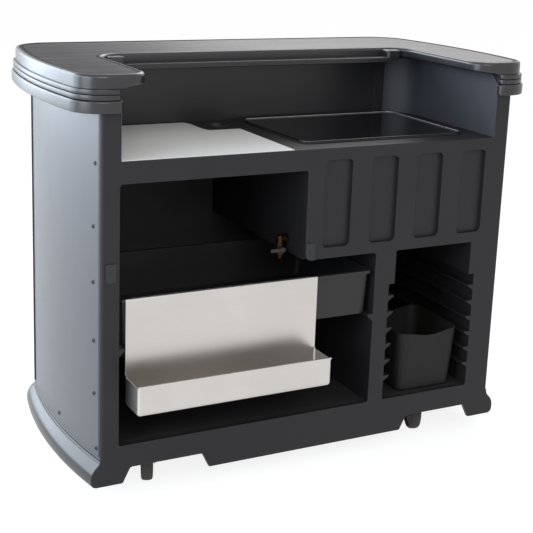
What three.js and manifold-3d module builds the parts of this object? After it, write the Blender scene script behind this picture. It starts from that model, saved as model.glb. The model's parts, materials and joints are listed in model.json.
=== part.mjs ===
// Rolling portable bar: a moulded service bar with an ice well, storage tray, rack bay and four casters.
// Millimetres, +Z up, +X along the bar's length, the bartender stands on the -Y side.
// Shapes are written with their depth measured back from the bar's front plane.

import * as THREE from 'three';
import { mergeVertices } from 'three/addons/utils/BufferGeometryUtils.js';
import Module from 'manifold-3d';

// Clearances
const GAP = 0.3;                   // between pieces that touch
const RUNNING = 0.3;               // around a pin that turns
const SEAM = 1;                    // overlap where two shapes of one piece are joined

// Body plan
const OPENING_HALF = 588;          // centre line to the inner face of each front post
const POST_WIDTH = 76;             // post's inner face to the end face where it is widest
const BODY_HALF_LENGTH = OPENING_HALF + POST_WIDTH;
const BODY_DEPTH = 671;            // front plane to the customer-side face
const END_BOW_RADIUS = 1600;       // the ends are gently bowed
const END_BOW_CENTRE = 285;        // depth at which the ends are widest
const REAR_CORNER_RADIUS = 75;
const SHEET = 3;                   // decor sheet
const WALL = 6;                    // moulded skin
const BOW_STEPS = 6;               // facets along each bowed end
const CORNER_STEPS = 5;            // facets around each corner

// Heights, each counted from the level below it
const GROUND_CLEARANCE = 55;       // feet above the ground
const BASE_HEIGHT = 111;           // feet to the compartment floor
const COMPARTMENT_HEIGHT = 461;    // compartment floor to the underside of the ice well
const WELL_FRONT_HEIGHT = 317;     // underside of the ice well to the deck
const SPLASH_HEIGHT = 187;         // deck to the underside of the counter slab
const SLAB = 35;                   // counter slab
const FLOOR = 8;                   // compartment floor panel

// Base
const SKIRT_HEIGHT = 83;
const SKIRT_REACH = 27;            // how far the skirt swells past the end sheets
const SKIRT_WALL = 10;
// Skirt curve as shares of its reach and of its height
const OGEE = [[0, 0], [0.25, 0.2], [0.8, 0.38], [1, 0.62], [0.9, 0.87], [0.5, 1]];
const OGEE_STEPS = 8;
const BASE_RAIL = 14;              // front rail of the base, front to back
const FOOT_LENGTH = 90;            // each end foot, along the front
const ARCH_RISE = 44;              // wheel arches above the feet
const ARCH_LENGTH = 258;           // from a foot to the middle of the rail
const ARCH_SLOPE = 22;             // length of each sloping arch end

// Front posts and compartments
const POST_DEPTH = 25;
const POST_NOSE = 14;              // part of a post in front of the end sheet
const POST_RADIUS = 10;            // its rounded outer corner
const RIGHT_WALL_WIDTH = 53;       // wall right of the rack bay
const RACK_WIDTH = 268;            // rack bay between its walls
const DIVIDER_WIDTH = 70;
const LINER_DEPTH = 615;           // front plane to the inner back wall
const WELL_WIDTH = 627;            // ice well box
const APRON_HEIGHT = 60;           // deck edge left of the ice well
const APRON = 8;
const DECK = 12;

// Tray ledges and rack runners
const LEDGE_HEIGHT = 276;          // above the compartment floor
const LEDGE_REACH = 18;
const LEDGE_EDGE = 6;              // thickness of the ledge at its tip
const RUNNER_COUNT = 6;
const RUNNER_PITCH = 50;
const RUNNER_FIRST = 76;           // lowest runner above the compartment floor
const RUNNER_REACH = 19;           // groove depth behind the runner tips
const RUNNER_EDGE = 5;             // thickness of a runner at its tip
const RUNNER_ROOT = 18;            // thickness of a runner at its root
const GROOVE_HEAD = 34;            // groove above the highest runner

// Ribbed front of the ice well
const RIBBED_PANEL = 18;
const RECESS_COUNT = 4;
const RECESS_WIDTH = 88;
const RECESS_PITCH = 153;
const RECESS_DEPTH = 13;
const RECESS_RADIUS = 14;
const RECESS_BOTTOM = 32;          // panel's lower edge to the recesses
const RECESS_TOP = 35;             // recesses to the deck
const RECESS_SHIFT = 14;           // the row sits right of the panel's middle
const PANEL_CORNER = 18;           // rounded lower left corner

// Splash walls above the deck
const SPLASH_GAP = 21;             // ice bin to the splash back
const LINER_SHEET = 2.5;           // side splash sheets
const LINER_RADIUS = 80;           // their rear corners
const LINER_CHAMFER = 16;          // cut front top corner
const LINER_STEPS = 6;
const STRIP_WIDTH = 38;            // strip that holds the end of each side sheet

// Counter
const COUNTER_OVERHANG = 58;       // lower band past the end sheets
const COUNTER_FRONT_LIP = 20;      // lower band in front of the front plane
const FRONT_CORNER_RADIUS = 30;    // at the line of the end sheets
const FASCIA_HEIGHT = 61;          // band and beads below the slab
const BAND_HEIGHT = 32;
const BEAD = 3;                    // how far each bead stands out
const BEAD_INSET = 8;              // beads behind the lower band
const SLAB_INSET = 12;             // slab edge behind the lower band
const NOSE = 10;                   // rounding of the slab's top edge
const NOSE_CHAMFER = 3;
const WRAP_REACH = 6;              // front wraps past the posts' inner faces
const WING_OVERHANG = 80;          // wings' inner edges past the posts' inner faces
const WING_REAR_OVERHANG = 87;     // rear inner edge in front of the splash back
const WING_CORNER = 66;            // inner corner radius
const WING_FRONT_RADIUS = 20;      // outer rounding at the wings' inner front corners
const RIM = 9;                     // raised rim around the inlay
const INLAY = 2;
const INLAY_DROP = 1;              // inlay below the rim

// Inner ledge below the counter's rear inner edge
const GLASS_LEDGE_END = 68;        // wing's inner edge to the end of the ledge
const GLASS_LEDGE_REACH = 48;
const GLASS_LEDGE_DROP = 25;       // ledge below the counter top
const GLASS_LEDGE_HEIGHT = 16;
const GLASS_LEDGE_GRIP = 35;       // part that lies below the slab

// Cutting board
const BOARD_BIN_GAP = 59.9;        // board to the ice bin
const BOARD_REAR_GAP = 12;         // board to the splash back
const BOARD_HOSE_GAP = 41;         // shallow part of the board to the hose grommet
const BOARD_CUT = 92;              // length of the shallow part
const BOARD_SWEEP = 36;            // length of the curve between the two depths
const BOARD_SWEEP_STEPS = 8;
const BOARD = 8;
const BOARD_RECESS = 7;
const BOARD_LIP = 4;               // deck left in front of the board
const BOARD_CLEARANCE = 1;

// Hose grommet
const HOSE_INSET = 39.1;           // left of the board's right edge
const HOSE_REAR = 77;              // in front of the splash back
const HOSE_BORE = 22;
const GROMMET_NECK = 27;
const GROMMET_FLANGE = 34;
const GROMMET_LIP = 2.5;

// Ice bin and lid
const ICE_BIN_LENGTH = 556;
const ICE_BIN_DEPTH = 406;
const ICE_BIN_SIDE = 56;           // from the right post
const ICE_BIN_FRONT = 65;
const ICE_BIN_HEIGHT = 296;
const ICE_BIN_WALL = 4;
const ICE_BIN_FLANGE = 12;
const ICE_BIN_FLANGE_EDGE = 3;
const ICE_BIN_DRAFT = 10;
const ICE_BIN_RADIUS = 34;
const LID = 4;
const LID_MARGIN = 4;              // flange left showing around the lid
const TUB_CORNER_STEPS = 4;

// Drain
const DRAIN_DEPTH = 110;
const DRAIN_HEIGHT = 32;           // pipe centre above the ice well floor
const DRAIN_PIPE = 10;             // radius
const DRAIN_NUT = 15;
const DRAIN_NUT_LENGTH = 9;
const VALVE_RADIUS = 13;
const VALVE_LENGTH = 34;
const VALVE_NOZZLE = 7;
const VALVE_NOZZLE_LENGTH = 12;
const VALVE_STEM = 5;
const VALVE_STEM_LENGTH = 7;
const LEVER_LENGTH = 40;
const LEVER_WIDTH = 10;
const LEVER_HUB = 8;               // radius
const LEVER = 3;

// Storage tray
const TRAY_SIDE_GAP = 7;
const TRAY_FRONT = 12;             // front plane to the tray's front wall
const TRAY_DEPTH = 420;
const TRAY_HEIGHT = 132;
const TRAY_WALL = 4;
const TRAY_RIM = 8;                // rolled rim outside the walls
const TRAY_RIM_EDGE = 9;
const TRAY_RADIUS = 22;
const TRAY_DRAFT = 6;

// Speed rail
const RAIL_LENGTH = 578;
const RAIL_INSET = 10;             // from the tray's left end
const RAIL_SHEET = 1.5;
const RAIL_HEIGHT = 292;
const RAIL_REACH = 95;             // trough in front of the front plane
const RAIL_LIP = 84;               // trough's front wall
const RAIL_HOOK = 22;              // hook inside the tray
const RAIL_HOOK_ROOM = 3;
const RAIL_BEND = 12;
const MITRE_LIMIT = 0.5;           // sharpest corner a folded sheet is mitred at

// Waste bin
const WASTE_SHIFT = 18;            // right of the bay's middle
const WASTE_FRONT = 15;
const WASTE_WIDTH = 214;
const WASTE_DEPTH = 240;
const WASTE_HEIGHT = 188;
const WASTE_WALL = 3;
const WASTE_DRAFT = 12;
const WASTE_RADIUS = 30;
const WASTE_WAVE = 12;             // dip in the middle of the rim
const WASTE_WAVE_STEPS = 8;

// Lock plates beside the storage opening
const LOCK_PLATE_WIDTH = 30;
const LOCK_PLATE_HEIGHT = 50;
const LOCK_PLATE = 3;
const LOCK_RADIUS = 3;             // lower corner of the left plate
const LOCK_BOLT = 5;
const LOCK_BOLT_HEAD = 2;
const LOCK_INSET = 10;             // from the post's inner edge

// Casters
const CASTER_INSET = 214;          // king pin from the end face
const CASTER_FRONT = 144;
const CASTER_REAR_INSET = 141;
const WHEEL_RADIUS = 63.5;
const WHEEL_WIDTH = 32;
const WHEEL_FACETS = 24;
const WHEEL_HUB = 22;
const WHEEL_RIM = 52;
const WHEEL_DISH = 6;
const WHEEL_EDGE = 3;              // bevel of the tread and slope of the rim
const WHEEL_FILLET = 4;            // slope at the hub
const TRAIL = 38;
const SWIVEL_TURN = THREE.MathUtils.degToRad(-20);
const AXLE_RADIUS = 5.5;
const AXLE_HEAD = 9;
const AXLE_HEAD_LENGTH = 5;
const FORK_SHEET = 4;
const FORK_SIDE_GAP = 4;
const FORK_CROWN = 7;
const FORK_TOE = 13;               // half length of a fork leg at the axle
const FORK_HEEL = 22;              // straight edge of a leg above the axle
const PLATE_LENGTH = 100;
const PLATE_WIDTH = 84;
const PLATE = 3;
const RACEWAY_RADIUS = 34;
const RACEWAY_HEIGHT = 8;
const KING_PIN = 8;
const KING_PIN_HEAD = 14;
const KING_PIN_HEAD_HEIGHT = 5;
const PIN_FACETS = 16;
const NUT_FACETS = 6;

// Levels worked out from the heights
const FLOOR_TOP = GROUND_CLEARANCE + BASE_HEIGHT;
const WELL_FLOOR_Z = FLOOR_TOP + COMPARTMENT_HEIGHT;
const DECK_TOP = WELL_FLOOR_Z + WELL_FRONT_HEIGHT;
const DECK_UNDERSIDE = DECK_TOP - DECK;
const SLAB_BOTTOM = DECK_TOP + SPLASH_HEIGHT;
const COUNTER_TOP = SLAB_BOTTOM + SLAB;
const FASCIA_BOTTOM = SLAB_BOTTOM - FASCIA_HEIGHT;
const SKIRT_TOP = GROUND_CLEARANCE + SKIRT_HEIGHT;

// Places along the length
const RACK_RIGHT = OPENING_HALF - RIGHT_WALL_WIDTH;
const RACK_LEFT = RACK_RIGHT - RACK_WIDTH;
const DIVIDER_LEFT = RACK_LEFT - DIVIDER_WIDTH;
const WELL_LEFT = OPENING_HALF - WELL_WIDTH;
const WRAP_END = OPENING_HALF - WRAP_REACH;
const WING_INNER = OPENING_HALF - WING_OVERHANG;
const ICE_RIGHT = OPENING_HALF - ICE_BIN_SIDE;
const ICE_LEFT = ICE_RIGHT - ICE_BIN_LENGTH;
const BOARD_LEFT = -OPENING_HALF + LINER_SHEET + 2 * GAP + BOARD_CLEARANCE;
const BOARD_RIGHT = ICE_LEFT - BOARD_BIN_GAP;
const HOSE_X = BOARD_RIGHT - HOSE_INSET;

// Places along the depth
const ICE_REAR = ICE_BIN_FRONT + ICE_BIN_DEPTH;
const SPLASH_DEPTH = ICE_REAR + SPLASH_GAP;
const WING_REAR = SPLASH_DEPTH - WING_REAR_OVERHANG;
const HOSE_DEPTH = SPLASH_DEPTH - HOSE_REAR;
const BOARD_DEEP = SPLASH_DEPTH - BOARD_REAR_GAP;
const BOARD_SHALLOW = HOSE_DEPTH - GROMMET_FLANGE - BOARD_HOSE_GAP;

// The origin is below the middle of the part, between the speed rail and the rear of the counter
const FRONT_Y = (RAIL_REACH - BODY_DEPTH - COUNTER_OVERHANG) / 2;

const wasm = await Module();
wasm.setup();

const bar = new THREE.Group();
const body = new THREE.Group();
body.position.y = FRONT_Y;
bar.add(body);

// Solids and booleans

function positionsOnly(geometry) {
  const bare = geometry.clone();
  for (const name of Object.keys(bare.attributes)) {
    if (name !== 'position') {
      bare.deleteAttribute(name);
    }
  }
  return mergeVertices(bare, 1e-4);
}

function toSolid(geometry) {
  const merged = positionsOnly(geometry);
  const mesh = new wasm.Mesh({
    numProp: 3,
    vertProperties: new Float32Array(merged.attributes.position.array),
    triVerts: new Uint32Array(merged.index.array),
  });
  return new wasm.Manifold(mesh);
}

function toGeometry(solid) {
  const mesh = solid.getMesh();
  const geometry = new THREE.BufferGeometry();
  geometry.setAttribute('position', new THREE.BufferAttribute(new Float32Array(mesh.vertProperties), 3));
  geometry.setIndex(new THREE.BufferAttribute(new Uint32Array(mesh.triVerts), 1));
  geometry.computeVertexNormals();
  return geometry;
}

function join(...geometries) {
  return toGeometry(geometries.map(toSolid).reduce((whole, piece) => whole.add(piece)));
}

function cut(geometry, ...tools) {
  return toGeometry(tools.map(toSolid).reduce((whole, tool) => whole.subtract(tool), toSolid(geometry)));
}

function box(x0, x1, d0, d1, z0, z1) {
  const geometry = new THREE.BoxGeometry(x1 - x0, d1 - d0, z1 - z0);
  return geometry.translate((x0 + x1) / 2, (d0 + d1) / 2, (z0 + z1) / 2);
}

function shapeOf(points) {
  return new THREE.Shape(points.map(([a, b]) => new THREE.Vector2(a, b)));
}

function extruded(points, length) {
  return new THREE.ExtrudeGeometry(shapeOf(points), { depth: length, bevelEnabled: false, steps: 1 });
}

// Plan outline [x, depth] raised from z0 to z1
function raised(points, z0, z1) {
  return extruded(points, z1 - z0).translate(0, 0, z0);
}

// Front outline [x, z] carried from depth d0 to d1
function carriedBack(points, d0, d1) {
  return extruded(points, d1 - d0).rotateX(Math.PI / 2).translate(0, d1, 0);
}

// Side outline [depth, z] carried from x0 to x1
function carriedAcross(points, x0, x1) {
  const turn = new THREE.Matrix4().makeBasis(
    new THREE.Vector3(0, 1, 0),
    new THREE.Vector3(0, 0, 1),
    new THREE.Vector3(1, 0, 0),
  );
  return extruded(points, x1 - x0).applyMatrix4(turn).translate(x0, 0, 0);
}

function rodZ(radius, z0, z1, facets = PIN_FACETS) {
  return new THREE.CylinderGeometry(radius, radius, z1 - z0, facets)
    .rotateX(Math.PI / 2)
    .translate(0, 0, (z0 + z1) / 2);
}

function rodX(radius, x0, x1, facets = PIN_FACETS) {
  return new THREE.CylinderGeometry(radius, radius, x1 - x0, facets)
    .rotateZ(Math.PI / 2)
    .translate((x0 + x1) / 2, 0, 0);
}

function rodY(radius, y0, y1, facets = PIN_FACETS) {
  return new THREE.CylinderGeometry(radius, radius, y1 - y0, facets).translate(0, (y0 + y1) / 2, 0);
}

// Skin between rings of as many points each, closed at both ends; flat is one ring laid flat
function loft(rings, flat) {
  const count = flat.length;
  const vertices = rings.flat(2);
  const faces = [];
  for (let ring = 0; ring + 1 < rings.length; ring += 1) {
    for (let i = 0; i < count; i += 1) {
      const next = (i + 1) % count;
      const low = ring * count;
      const high = low + count;
      faces.push(low + i, low + next, high + next);
      faces.push(low + i, high + next, high + i);
    }
  }
  const flatPoints = flat.map(([a, b]) => new THREE.Vector2(a, b));
  const last = (rings.length - 1) * count;
  const clockwise = THREE.ShapeUtils.isClockWise(flatPoints);
  for (const triangle of THREE.ShapeUtils.triangulateShape(flatPoints, [])) {
    const [a, b, c] = clockwise ? [...triangle].reverse() : triangle;
    faces.push(c, b, a);
    faces.push(last + a, last + b, last + c);
  }
  const geometry = new THREE.BufferGeometry();
  geometry.setAttribute('position', new THREE.Float32BufferAttribute(vertices, 3));
  geometry.setIndex(facesOutward(vertices, faces));
  return geometry;
}

function facesOutward(vertices, faces) {
  const corner = (index) => new THREE.Vector3().fromArray(vertices, index * 3);
  let volume = 0;
  for (let i = 0; i < faces.length; i += 3) {
    volume += corner(faces[i]).dot(corner(faces[i + 1]).cross(corner(faces[i + 2])));
  }
  return volume > 0 ? faces : [...faces].reverse();
}

function arc(centreX, centreY, radius, from, to, steps) {
  const points = [];
  for (let i = 0; i <= steps; i += 1) {
    const angle = from + ((to - from) * i) / steps;
    points.push([centreX + radius * Math.cos(angle), centreY + radius * Math.sin(angle)]);
  }
  return points;
}

function mirrored(points) {
  return points.map(([a, b]) => [-a, b]).reverse();
}

function roundedRectangle(x0, x1, y0, y1, radius, steps = TUB_CORNER_STEPS) {
  const quarter = Math.PI / 2;
  return [
    ...arc(x1 - radius, y0 + radius, radius, -quarter, 0, steps),
    ...arc(x1 - radius, y1 - radius, radius, 0, quarter, steps),
    ...arc(x0 + radius, y1 - radius, radius, quarter, 2 * quarter, steps),
    ...arc(x0 + radius, y0 + radius, radius, 2 * quarter, 3 * quarter, steps),
  ];
}

// Open-topped tub with sloping walls; sizes are those of its mouth
function tub({ x0, x1, d0, d1, z0, z1, radius, draft, wall }) {
  const levels = (inset, bottom, top) => [[draft, bottom], [0, top]].map(([slope, z]) => {
    const edge = inset + slope;
    const corner = Math.max(radius - inset, wall);
    return roundedRectangle(x0 + edge, x1 - edge, d0 + edge, d1 - edge, corner).map(([x, d]) => [x, d, z]);
  });
  const outer = levels(0, z0, z1);
  const inner = levels(wall, z0 + wall, z1 + wall);
  const flatten = (ring) => ring.map(([x, d]) => [x, d]);
  return cut(loft(outer, flatten(outer[0])), loft(inner, flatten(inner[0])));
}

function addPiece(name, geometry, look, parent = body) {
  const [color, roughness, metalness] = look;
  const mesh = new THREE.Mesh(geometry, new THREE.MeshStandardMaterial({ color, roughness, metalness }));
  mesh.name = name;
  parent.add(mesh);
  return mesh;
}

// Finishes: colour, roughness, metalness
const BLACK_MOULDING = [0x2b2b2d, 0.55, 0];
const DARK_LINER = [0x1b1b1d, 0.5, 0];
const DECOR_SHEET = [0x3a3c42, 0.35, 0];
const GREY_LAMINATE = [0x8d8a8b, 0.4, 0.2];
const OFF_WHITE_BOARD = [0xd2d1c9, 0.6, 0];
const GLOSS_BLACK = [0x0d0d0f, 0.12, 0];
const TRAY_BLACK = [0x242426, 0.5, 0];
const STAINLESS = [0xc8c6c2, 0.3, 1];
const BRASS = [0xb5793a, 0.35, 1];
const PALE_LEVER = [0xcfcfcf, 0.5, 0];
const BIN_GREY = [0x3c3b3a, 0.6, 0];
const ZINC = [0x9a9b9d, 0.4, 1];
const WHEEL_RUBBER = [0x4a4740, 0.8, 0];
const PLATE_GREY = [0x4b4c50, 0.4, 0.5];

// Plan outline of the bar's end, offset outwards from the decor sheets

const BOW_X = BODY_HALF_LENGTH - END_BOW_RADIUS;
const REAR_ANGLE = Math.asin(
  (BODY_DEPTH - REAR_CORNER_RADIUS - END_BOW_CENTRE) / (END_BOW_RADIUS - REAR_CORNER_RADIUS),
);
const REAR_CENTRE_X = BOW_X + (END_BOW_RADIUS - REAR_CORNER_RADIUS) * Math.cos(REAR_ANGLE);
const REAR_CENTRE_D = BODY_DEPTH - REAR_CORNER_RADIUS;

const BOW_FRONT_ANGLE = -Math.asin(END_BOW_CENTRE / END_BOW_RADIUS);

// Facets of a bowed end, the same at every offset, cut off at a starting depth
function endBow(offset, startDepth) {
  const radius = END_BOW_RADIUS + offset;
  const facets = arc(BOW_X, END_BOW_CENTRE, radius, BOW_FRONT_ANGLE, REAR_ANGLE, BOW_STEPS);
  const next = Math.max(facets.findIndex(([, depth]) => depth > startDepth), 1);
  const [before, after] = [facets[next - 1], facets[next]];
  const share = (startDepth - before[1]) / (after[1] - before[1]);
  return [[before[0] + share * (after[0] - before[0]), startDepth], ...facets.slice(next)];
}

function rearCorner(offset) {
  const radius = REAR_CORNER_RADIUS + offset;
  return arc(REAR_CENTRE_X, REAR_CENTRE_D, radius, REAR_ANGLE, Math.PI / 2, CORNER_STEPS);
}

// From the right front, around the rear, to the left front
function aroundBar(offset, startDepth) {
  const right = [...endBow(offset, startDepth), ...rearCorner(offset).slice(1)];
  return [...right, ...mirrored(right)];
}

function endHalfAt(offset, depth) {
  return endBow(offset, depth)[0][0];
}

// Counter outline: the front corners share the centre of the front wraps
const FRONT_CENTRE_D = COUNTER_OVERHANG - COUNTER_FRONT_LIP + FRONT_CORNER_RADIUS;
const FRONT_ANGLE = Math.asin((FRONT_CENTRE_D - END_BOW_CENTRE) / (END_BOW_RADIUS - FRONT_CORNER_RADIUS));
const FRONT_CENTRE_X = BOW_X + (END_BOW_RADIUS - FRONT_CORNER_RADIUS) * Math.cos(FRONT_ANGLE);

function aroundCounter(offset) {
  const front = arc(
    FRONT_CENTRE_X,
    FRONT_CENTRE_D,
    FRONT_CORNER_RADIUS + offset,
    -Math.PI / 2,
    FRONT_ANGLE,
    CORNER_STEPS,
  );
  const bow = arc(BOW_X, END_BOW_CENTRE, END_BOW_RADIUS + offset, FRONT_ANGLE, REAR_ANGLE, BOW_STEPS);
  const right = [...front, ...bow.slice(1), ...rearCorner(offset).slice(1)];
  return [...right, ...mirrored(right)];
}

// Skirt section [offset, z], from its top to the feet
function skirtSection() {
  const curve = new THREE.SplineCurve(OGEE.map(
    ([reach, drop]) => new THREE.Vector2(SKIRT_REACH * reach, SKIRT_TOP - SKIRT_HEIGHT * drop),
  ));
  return curve.getPoints(OGEE_STEPS).map((point) => [point.x, point.y]);
}

// Base: skirt, front rail and floor

const WALL_OUTER = -(SHEET + GAP);
const WALL_INNER = WALL_OUTER - WALL;

function baseSkirt() {
  const outer = skirtSection();
  const inner = outer.map(([offset, z]) => [offset - SKIRT_WALL, z]).reverse();
  const section = [...outer, ...inner];
  const paths = section.map(([offset]) => aroundBar(offset, BASE_RAIL + GAP));
  const rings = paths[0].map((_, station) => section.map(([, z], i) => [...paths[i][station], z]));
  return loft(rings, section);
}

function frontRail() {
  const half = endHalfAt(0, 0);
  const footInner = half + SKIRT_REACH - FOOT_LENGTH;
  const archInner = footInner - ARCH_LENGTH;
  const archTop = GROUND_CLEARANCE + ARCH_RISE;
  const right = [
    [archInner, GROUND_CLEARANCE],
    [archInner + ARCH_SLOPE, archTop],
    [footInner - ARCH_SLOPE, archTop],
    [footInner, GROUND_CLEARANCE],
    ...skirtSection().reverse().map(([offset, z]) => [half + offset, z]),
    [half, FLOOR_TOP],
  ];
  return carriedBack([...right, ...mirrored(right)], 0, BASE_RAIL);
}

addPiece('base_skirt', baseSkirt(), BLACK_MOULDING);
addPiece('front_rail', frontRail(), BLACK_MOULDING);
addPiece(
  'floor_panel',
  raised(aroundBar(WALL_INNER - GAP, BASE_RAIL + GAP), FLOOR_TOP - FLOOR, FLOOR_TOP),
  DARK_LINER,
);

// Outer wall, front posts and decor sheets

function bandAround(outer, inner, startDepth, z0, z1) {
  const outside = aroundBar(outer, startDepth);
  const inside = aroundBar(inner, startDepth);
  return raised([...outside, ...inside.reverse()], z0, z1);
}

function post(side) {
  const noseX = endHalfAt(0, POST_RADIUS) - POST_RADIUS;
  const right = [
    [OPENING_HALF, 0],
    ...arc(noseX, POST_RADIUS, POST_RADIUS, -Math.PI / 2, 0, CORNER_STEPS),
    [endHalfAt(0, POST_NOSE), POST_NOSE],
    [endHalfAt(WALL_OUTER, POST_NOSE), POST_NOSE],
    [endHalfAt(WALL_OUTER, POST_DEPTH), POST_DEPTH],
    [OPENING_HALF, POST_DEPTH],
  ];
  const plan = side > 0 ? right : mirrored(right);
  return raised(plan, FLOOR_TOP + GAP, SLAB_BOTTOM - GAP);
}

const SHEET_TOP = FASCIA_BOTTOM + BAND_HEIGHT;

function endSheet(side) {
  const edge = (offset) => endBow(offset, POST_NOSE + GAP);
  const right = [...edge(0), ...edge(-SHEET).reverse()];
  const plan = side > 0 ? right : mirrored(right);
  return raised(plan, SKIRT_TOP + GAP, SHEET_TOP);
}

function customerSheet() {
  const edge = (offset) => {
    const radius = REAR_CORNER_RADIUS + offset;
    const seam = REAR_ANGLE + GAP / REAR_CORNER_RADIUS;
    const right = arc(REAR_CENTRE_X, REAR_CENTRE_D, radius, seam, Math.PI / 2, CORNER_STEPS);
    return [...right, ...mirrored(right)];
  };
  return raised([...edge(0), ...edge(-SHEET).reverse()], SKIRT_TOP + GAP, SHEET_TOP);
}

addPiece(
  'outer_wall',
  bandAround(WALL_OUTER, WALL_INNER, POST_DEPTH + GAP, SKIRT_TOP + GAP, SLAB_BOTTOM - GAP),
  BLACK_MOULDING,
);
addPiece('left_post', post(-1), BLACK_MOULDING);
addPiece('right_post', post(1), BLACK_MOULDING);
addPiece('left_end_sheet', endSheet(-1), DECOR_SHEET);
addPiece('right_end_sheet', endSheet(1), DECOR_SHEET);
addPiece('customer_sheet', customerSheet(), DECOR_SHEET);

// Compartment walls with tray ledges and rack runners

const LEDGE_TOP = FLOOR_TOP + LEDGE_HEIGHT;
const INSIDE_TOP = WELL_FLOOR_Z - GAP;

// Ledge outline up a wall at x = 0, reaching towards +x
function ledgeOutline() {
  return [
    [0, LEDGE_TOP - LEDGE_EDGE - LEDGE_REACH],
    [LEDGE_REACH, LEDGE_TOP - LEDGE_EDGE],
    [LEDGE_REACH, LEDGE_TOP],
    [0, LEDGE_TOP],
  ];
}

// Runner outline up a wall whose tips lie at x = 0 and whose grooves reach to -RUNNER_REACH
function runnerOutline() {
  const points = [[-RUNNER_REACH, FLOOR_TOP + GAP]];
  for (let i = 0; i < RUNNER_COUNT; i += 1) {
    const top = FLOOR_TOP + RUNNER_FIRST + i * RUNNER_PITCH;
    points.push([-RUNNER_REACH, top - RUNNER_ROOT]);
    points.push([0, top - RUNNER_EDGE]);
    points.push([0, top]);
    points.push([-RUNNER_REACH, top]);
  }
  const head = FLOOR_TOP + RUNNER_FIRST + (RUNNER_COUNT - 1) * RUNNER_PITCH + GROOVE_HEAD;
  points.push([-RUNNER_REACH, head]);
  points.push([0, head]);
  points.push([0, INSIDE_TOP]);
  return points;
}

// Hollow wall, closed at the front and open towards the back wall
function hollowWall(outline, hollowX0, hollowX1) {
  const outside = carriedBack(outline, 0, LINER_DEPTH - GAP);
  const inside = box(
    hollowX0, hollowX1, WALL, LINER_DEPTH + WALL, FLOOR_TOP + GAP + WALL, INSIDE_TOP - WALL,
  );
  return cut(outside, inside);
}

function divider() {
  const ledge = ledgeOutline().map(([x, z]) => [DIVIDER_LEFT - x, z]).reverse();
  const runners = runnerOutline().map(([x, z]) => [RACK_LEFT + x, z]);
  const outline = [
    ...runners,
    [DIVIDER_LEFT, INSIDE_TOP],
    ...ledge,
    [DIVIDER_LEFT, FLOOR_TOP + GAP],
  ];
  return hollowWall(outline, DIVIDER_LEFT + WALL, RACK_LEFT - RUNNER_REACH - WALL);
}

function rackWall() {
  const runners = runnerOutline().map(([x, z]) => [RACK_RIGHT - x, z]);
  const outline = [
    ...runners,
    [OPENING_HALF - GAP, INSIDE_TOP],
    [OPENING_HALF - GAP, FLOOR_TOP + GAP],
  ];
  return hollowWall(outline, RACK_RIGHT + RUNNER_REACH + WALL, OPENING_HALF - GAP - WALL);
}

function leftLiner() {
  const outline = [
    [-OPENING_HALF - WALL, FLOOR_TOP + GAP],
    [-OPENING_HALF, FLOOR_TOP + GAP],
    ...ledgeOutline().map(([x, z]) => [-OPENING_HALF + x, z]),
    [-OPENING_HALF, DECK_UNDERSIDE - GAP],
    [-OPENING_HALF - WALL, DECK_UNDERSIDE - GAP],
  ];
  return carriedBack(outline, POST_DEPTH + GAP, LINER_DEPTH - GAP);
}

const DECK_HALF = OPENING_HALF - GAP;

addPiece('left_liner', leftLiner(), DARK_LINER);
addPiece('divider', divider(), BLACK_MOULDING);
addPiece('rack_wall', rackWall(), BLACK_MOULDING);
addPiece(
  'rear_liner',
  box(-DECK_HALF, DECK_HALF, LINER_DEPTH, LINER_DEPTH + WALL, FLOOR_TOP + GAP, DECK_UNDERSIDE - GAP),
  DARK_LINER,
);

// Ice well: ribbed front, side and floor

const DRAIN_Z = WELL_FLOOR_Z + WALL + DRAIN_HEIGHT;

function ribbedFront() {
  const corner = arc(
    WELL_LEFT + PANEL_CORNER,
    WELL_FLOOR_Z + PANEL_CORNER,
    PANEL_CORNER,
    Math.PI,
    1.5 * Math.PI,
    CORNER_STEPS,
  );
  const face = [
    ...corner,
    [DECK_HALF, WELL_FLOOR_Z],
    [DECK_HALF, DECK_UNDERSIDE - GAP],
    [WELL_LEFT, DECK_UNDERSIDE - GAP],
  ];
  const panel = carriedBack(face, 0, RIBBED_PANEL);
  const middle = (WELL_LEFT + DECK_HALF) / 2 + RECESS_SHIFT;
  const first = middle - ((RECESS_COUNT - 1) * RECESS_PITCH) / 2;
  const recesses = [];
  for (let i = 0; i < RECESS_COUNT; i += 1) {
    const centre = first + i * RECESS_PITCH;
    const outline = roundedRectangle(
      centre - RECESS_WIDTH / 2,
      centre + RECESS_WIDTH / 2,
      WELL_FLOOR_Z + RECESS_BOTTOM,
      DECK_TOP - RECESS_TOP,
      RECESS_RADIUS,
    );
    recesses.push(carriedBack(outline, -RECESS_DEPTH, RECESS_DEPTH));
  }
  return cut(panel, ...recesses);
}

function wellSide() {
  const wall = box(
    WELL_LEFT, WELL_LEFT + WALL,
    RIBBED_PANEL + GAP, LINER_DEPTH - GAP,
    WELL_FLOOR_Z, DECK_UNDERSIDE - GAP,
  );
  const hole = rodX(DRAIN_PIPE + GAP, WELL_LEFT - WALL, WELL_LEFT + 2 * WALL);
  return cut(wall, hole.translate(0, DRAIN_DEPTH, DRAIN_Z));
}

addPiece('ribbed_front', ribbedFront(), BLACK_MOULDING);
addPiece('ice_well_side', wellSide(), DARK_LINER);
addPiece(
  'ice_well_floor',
  box(
    WELL_LEFT + WALL + GAP, DECK_HALF,
    RIBBED_PANEL + GAP, LINER_DEPTH - GAP,
    WELL_FLOOR_Z, WELL_FLOOR_Z + WALL,
  ),
  DARK_LINER,
);

// Deck with the ice-bin opening, hose hole and board recess

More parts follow.
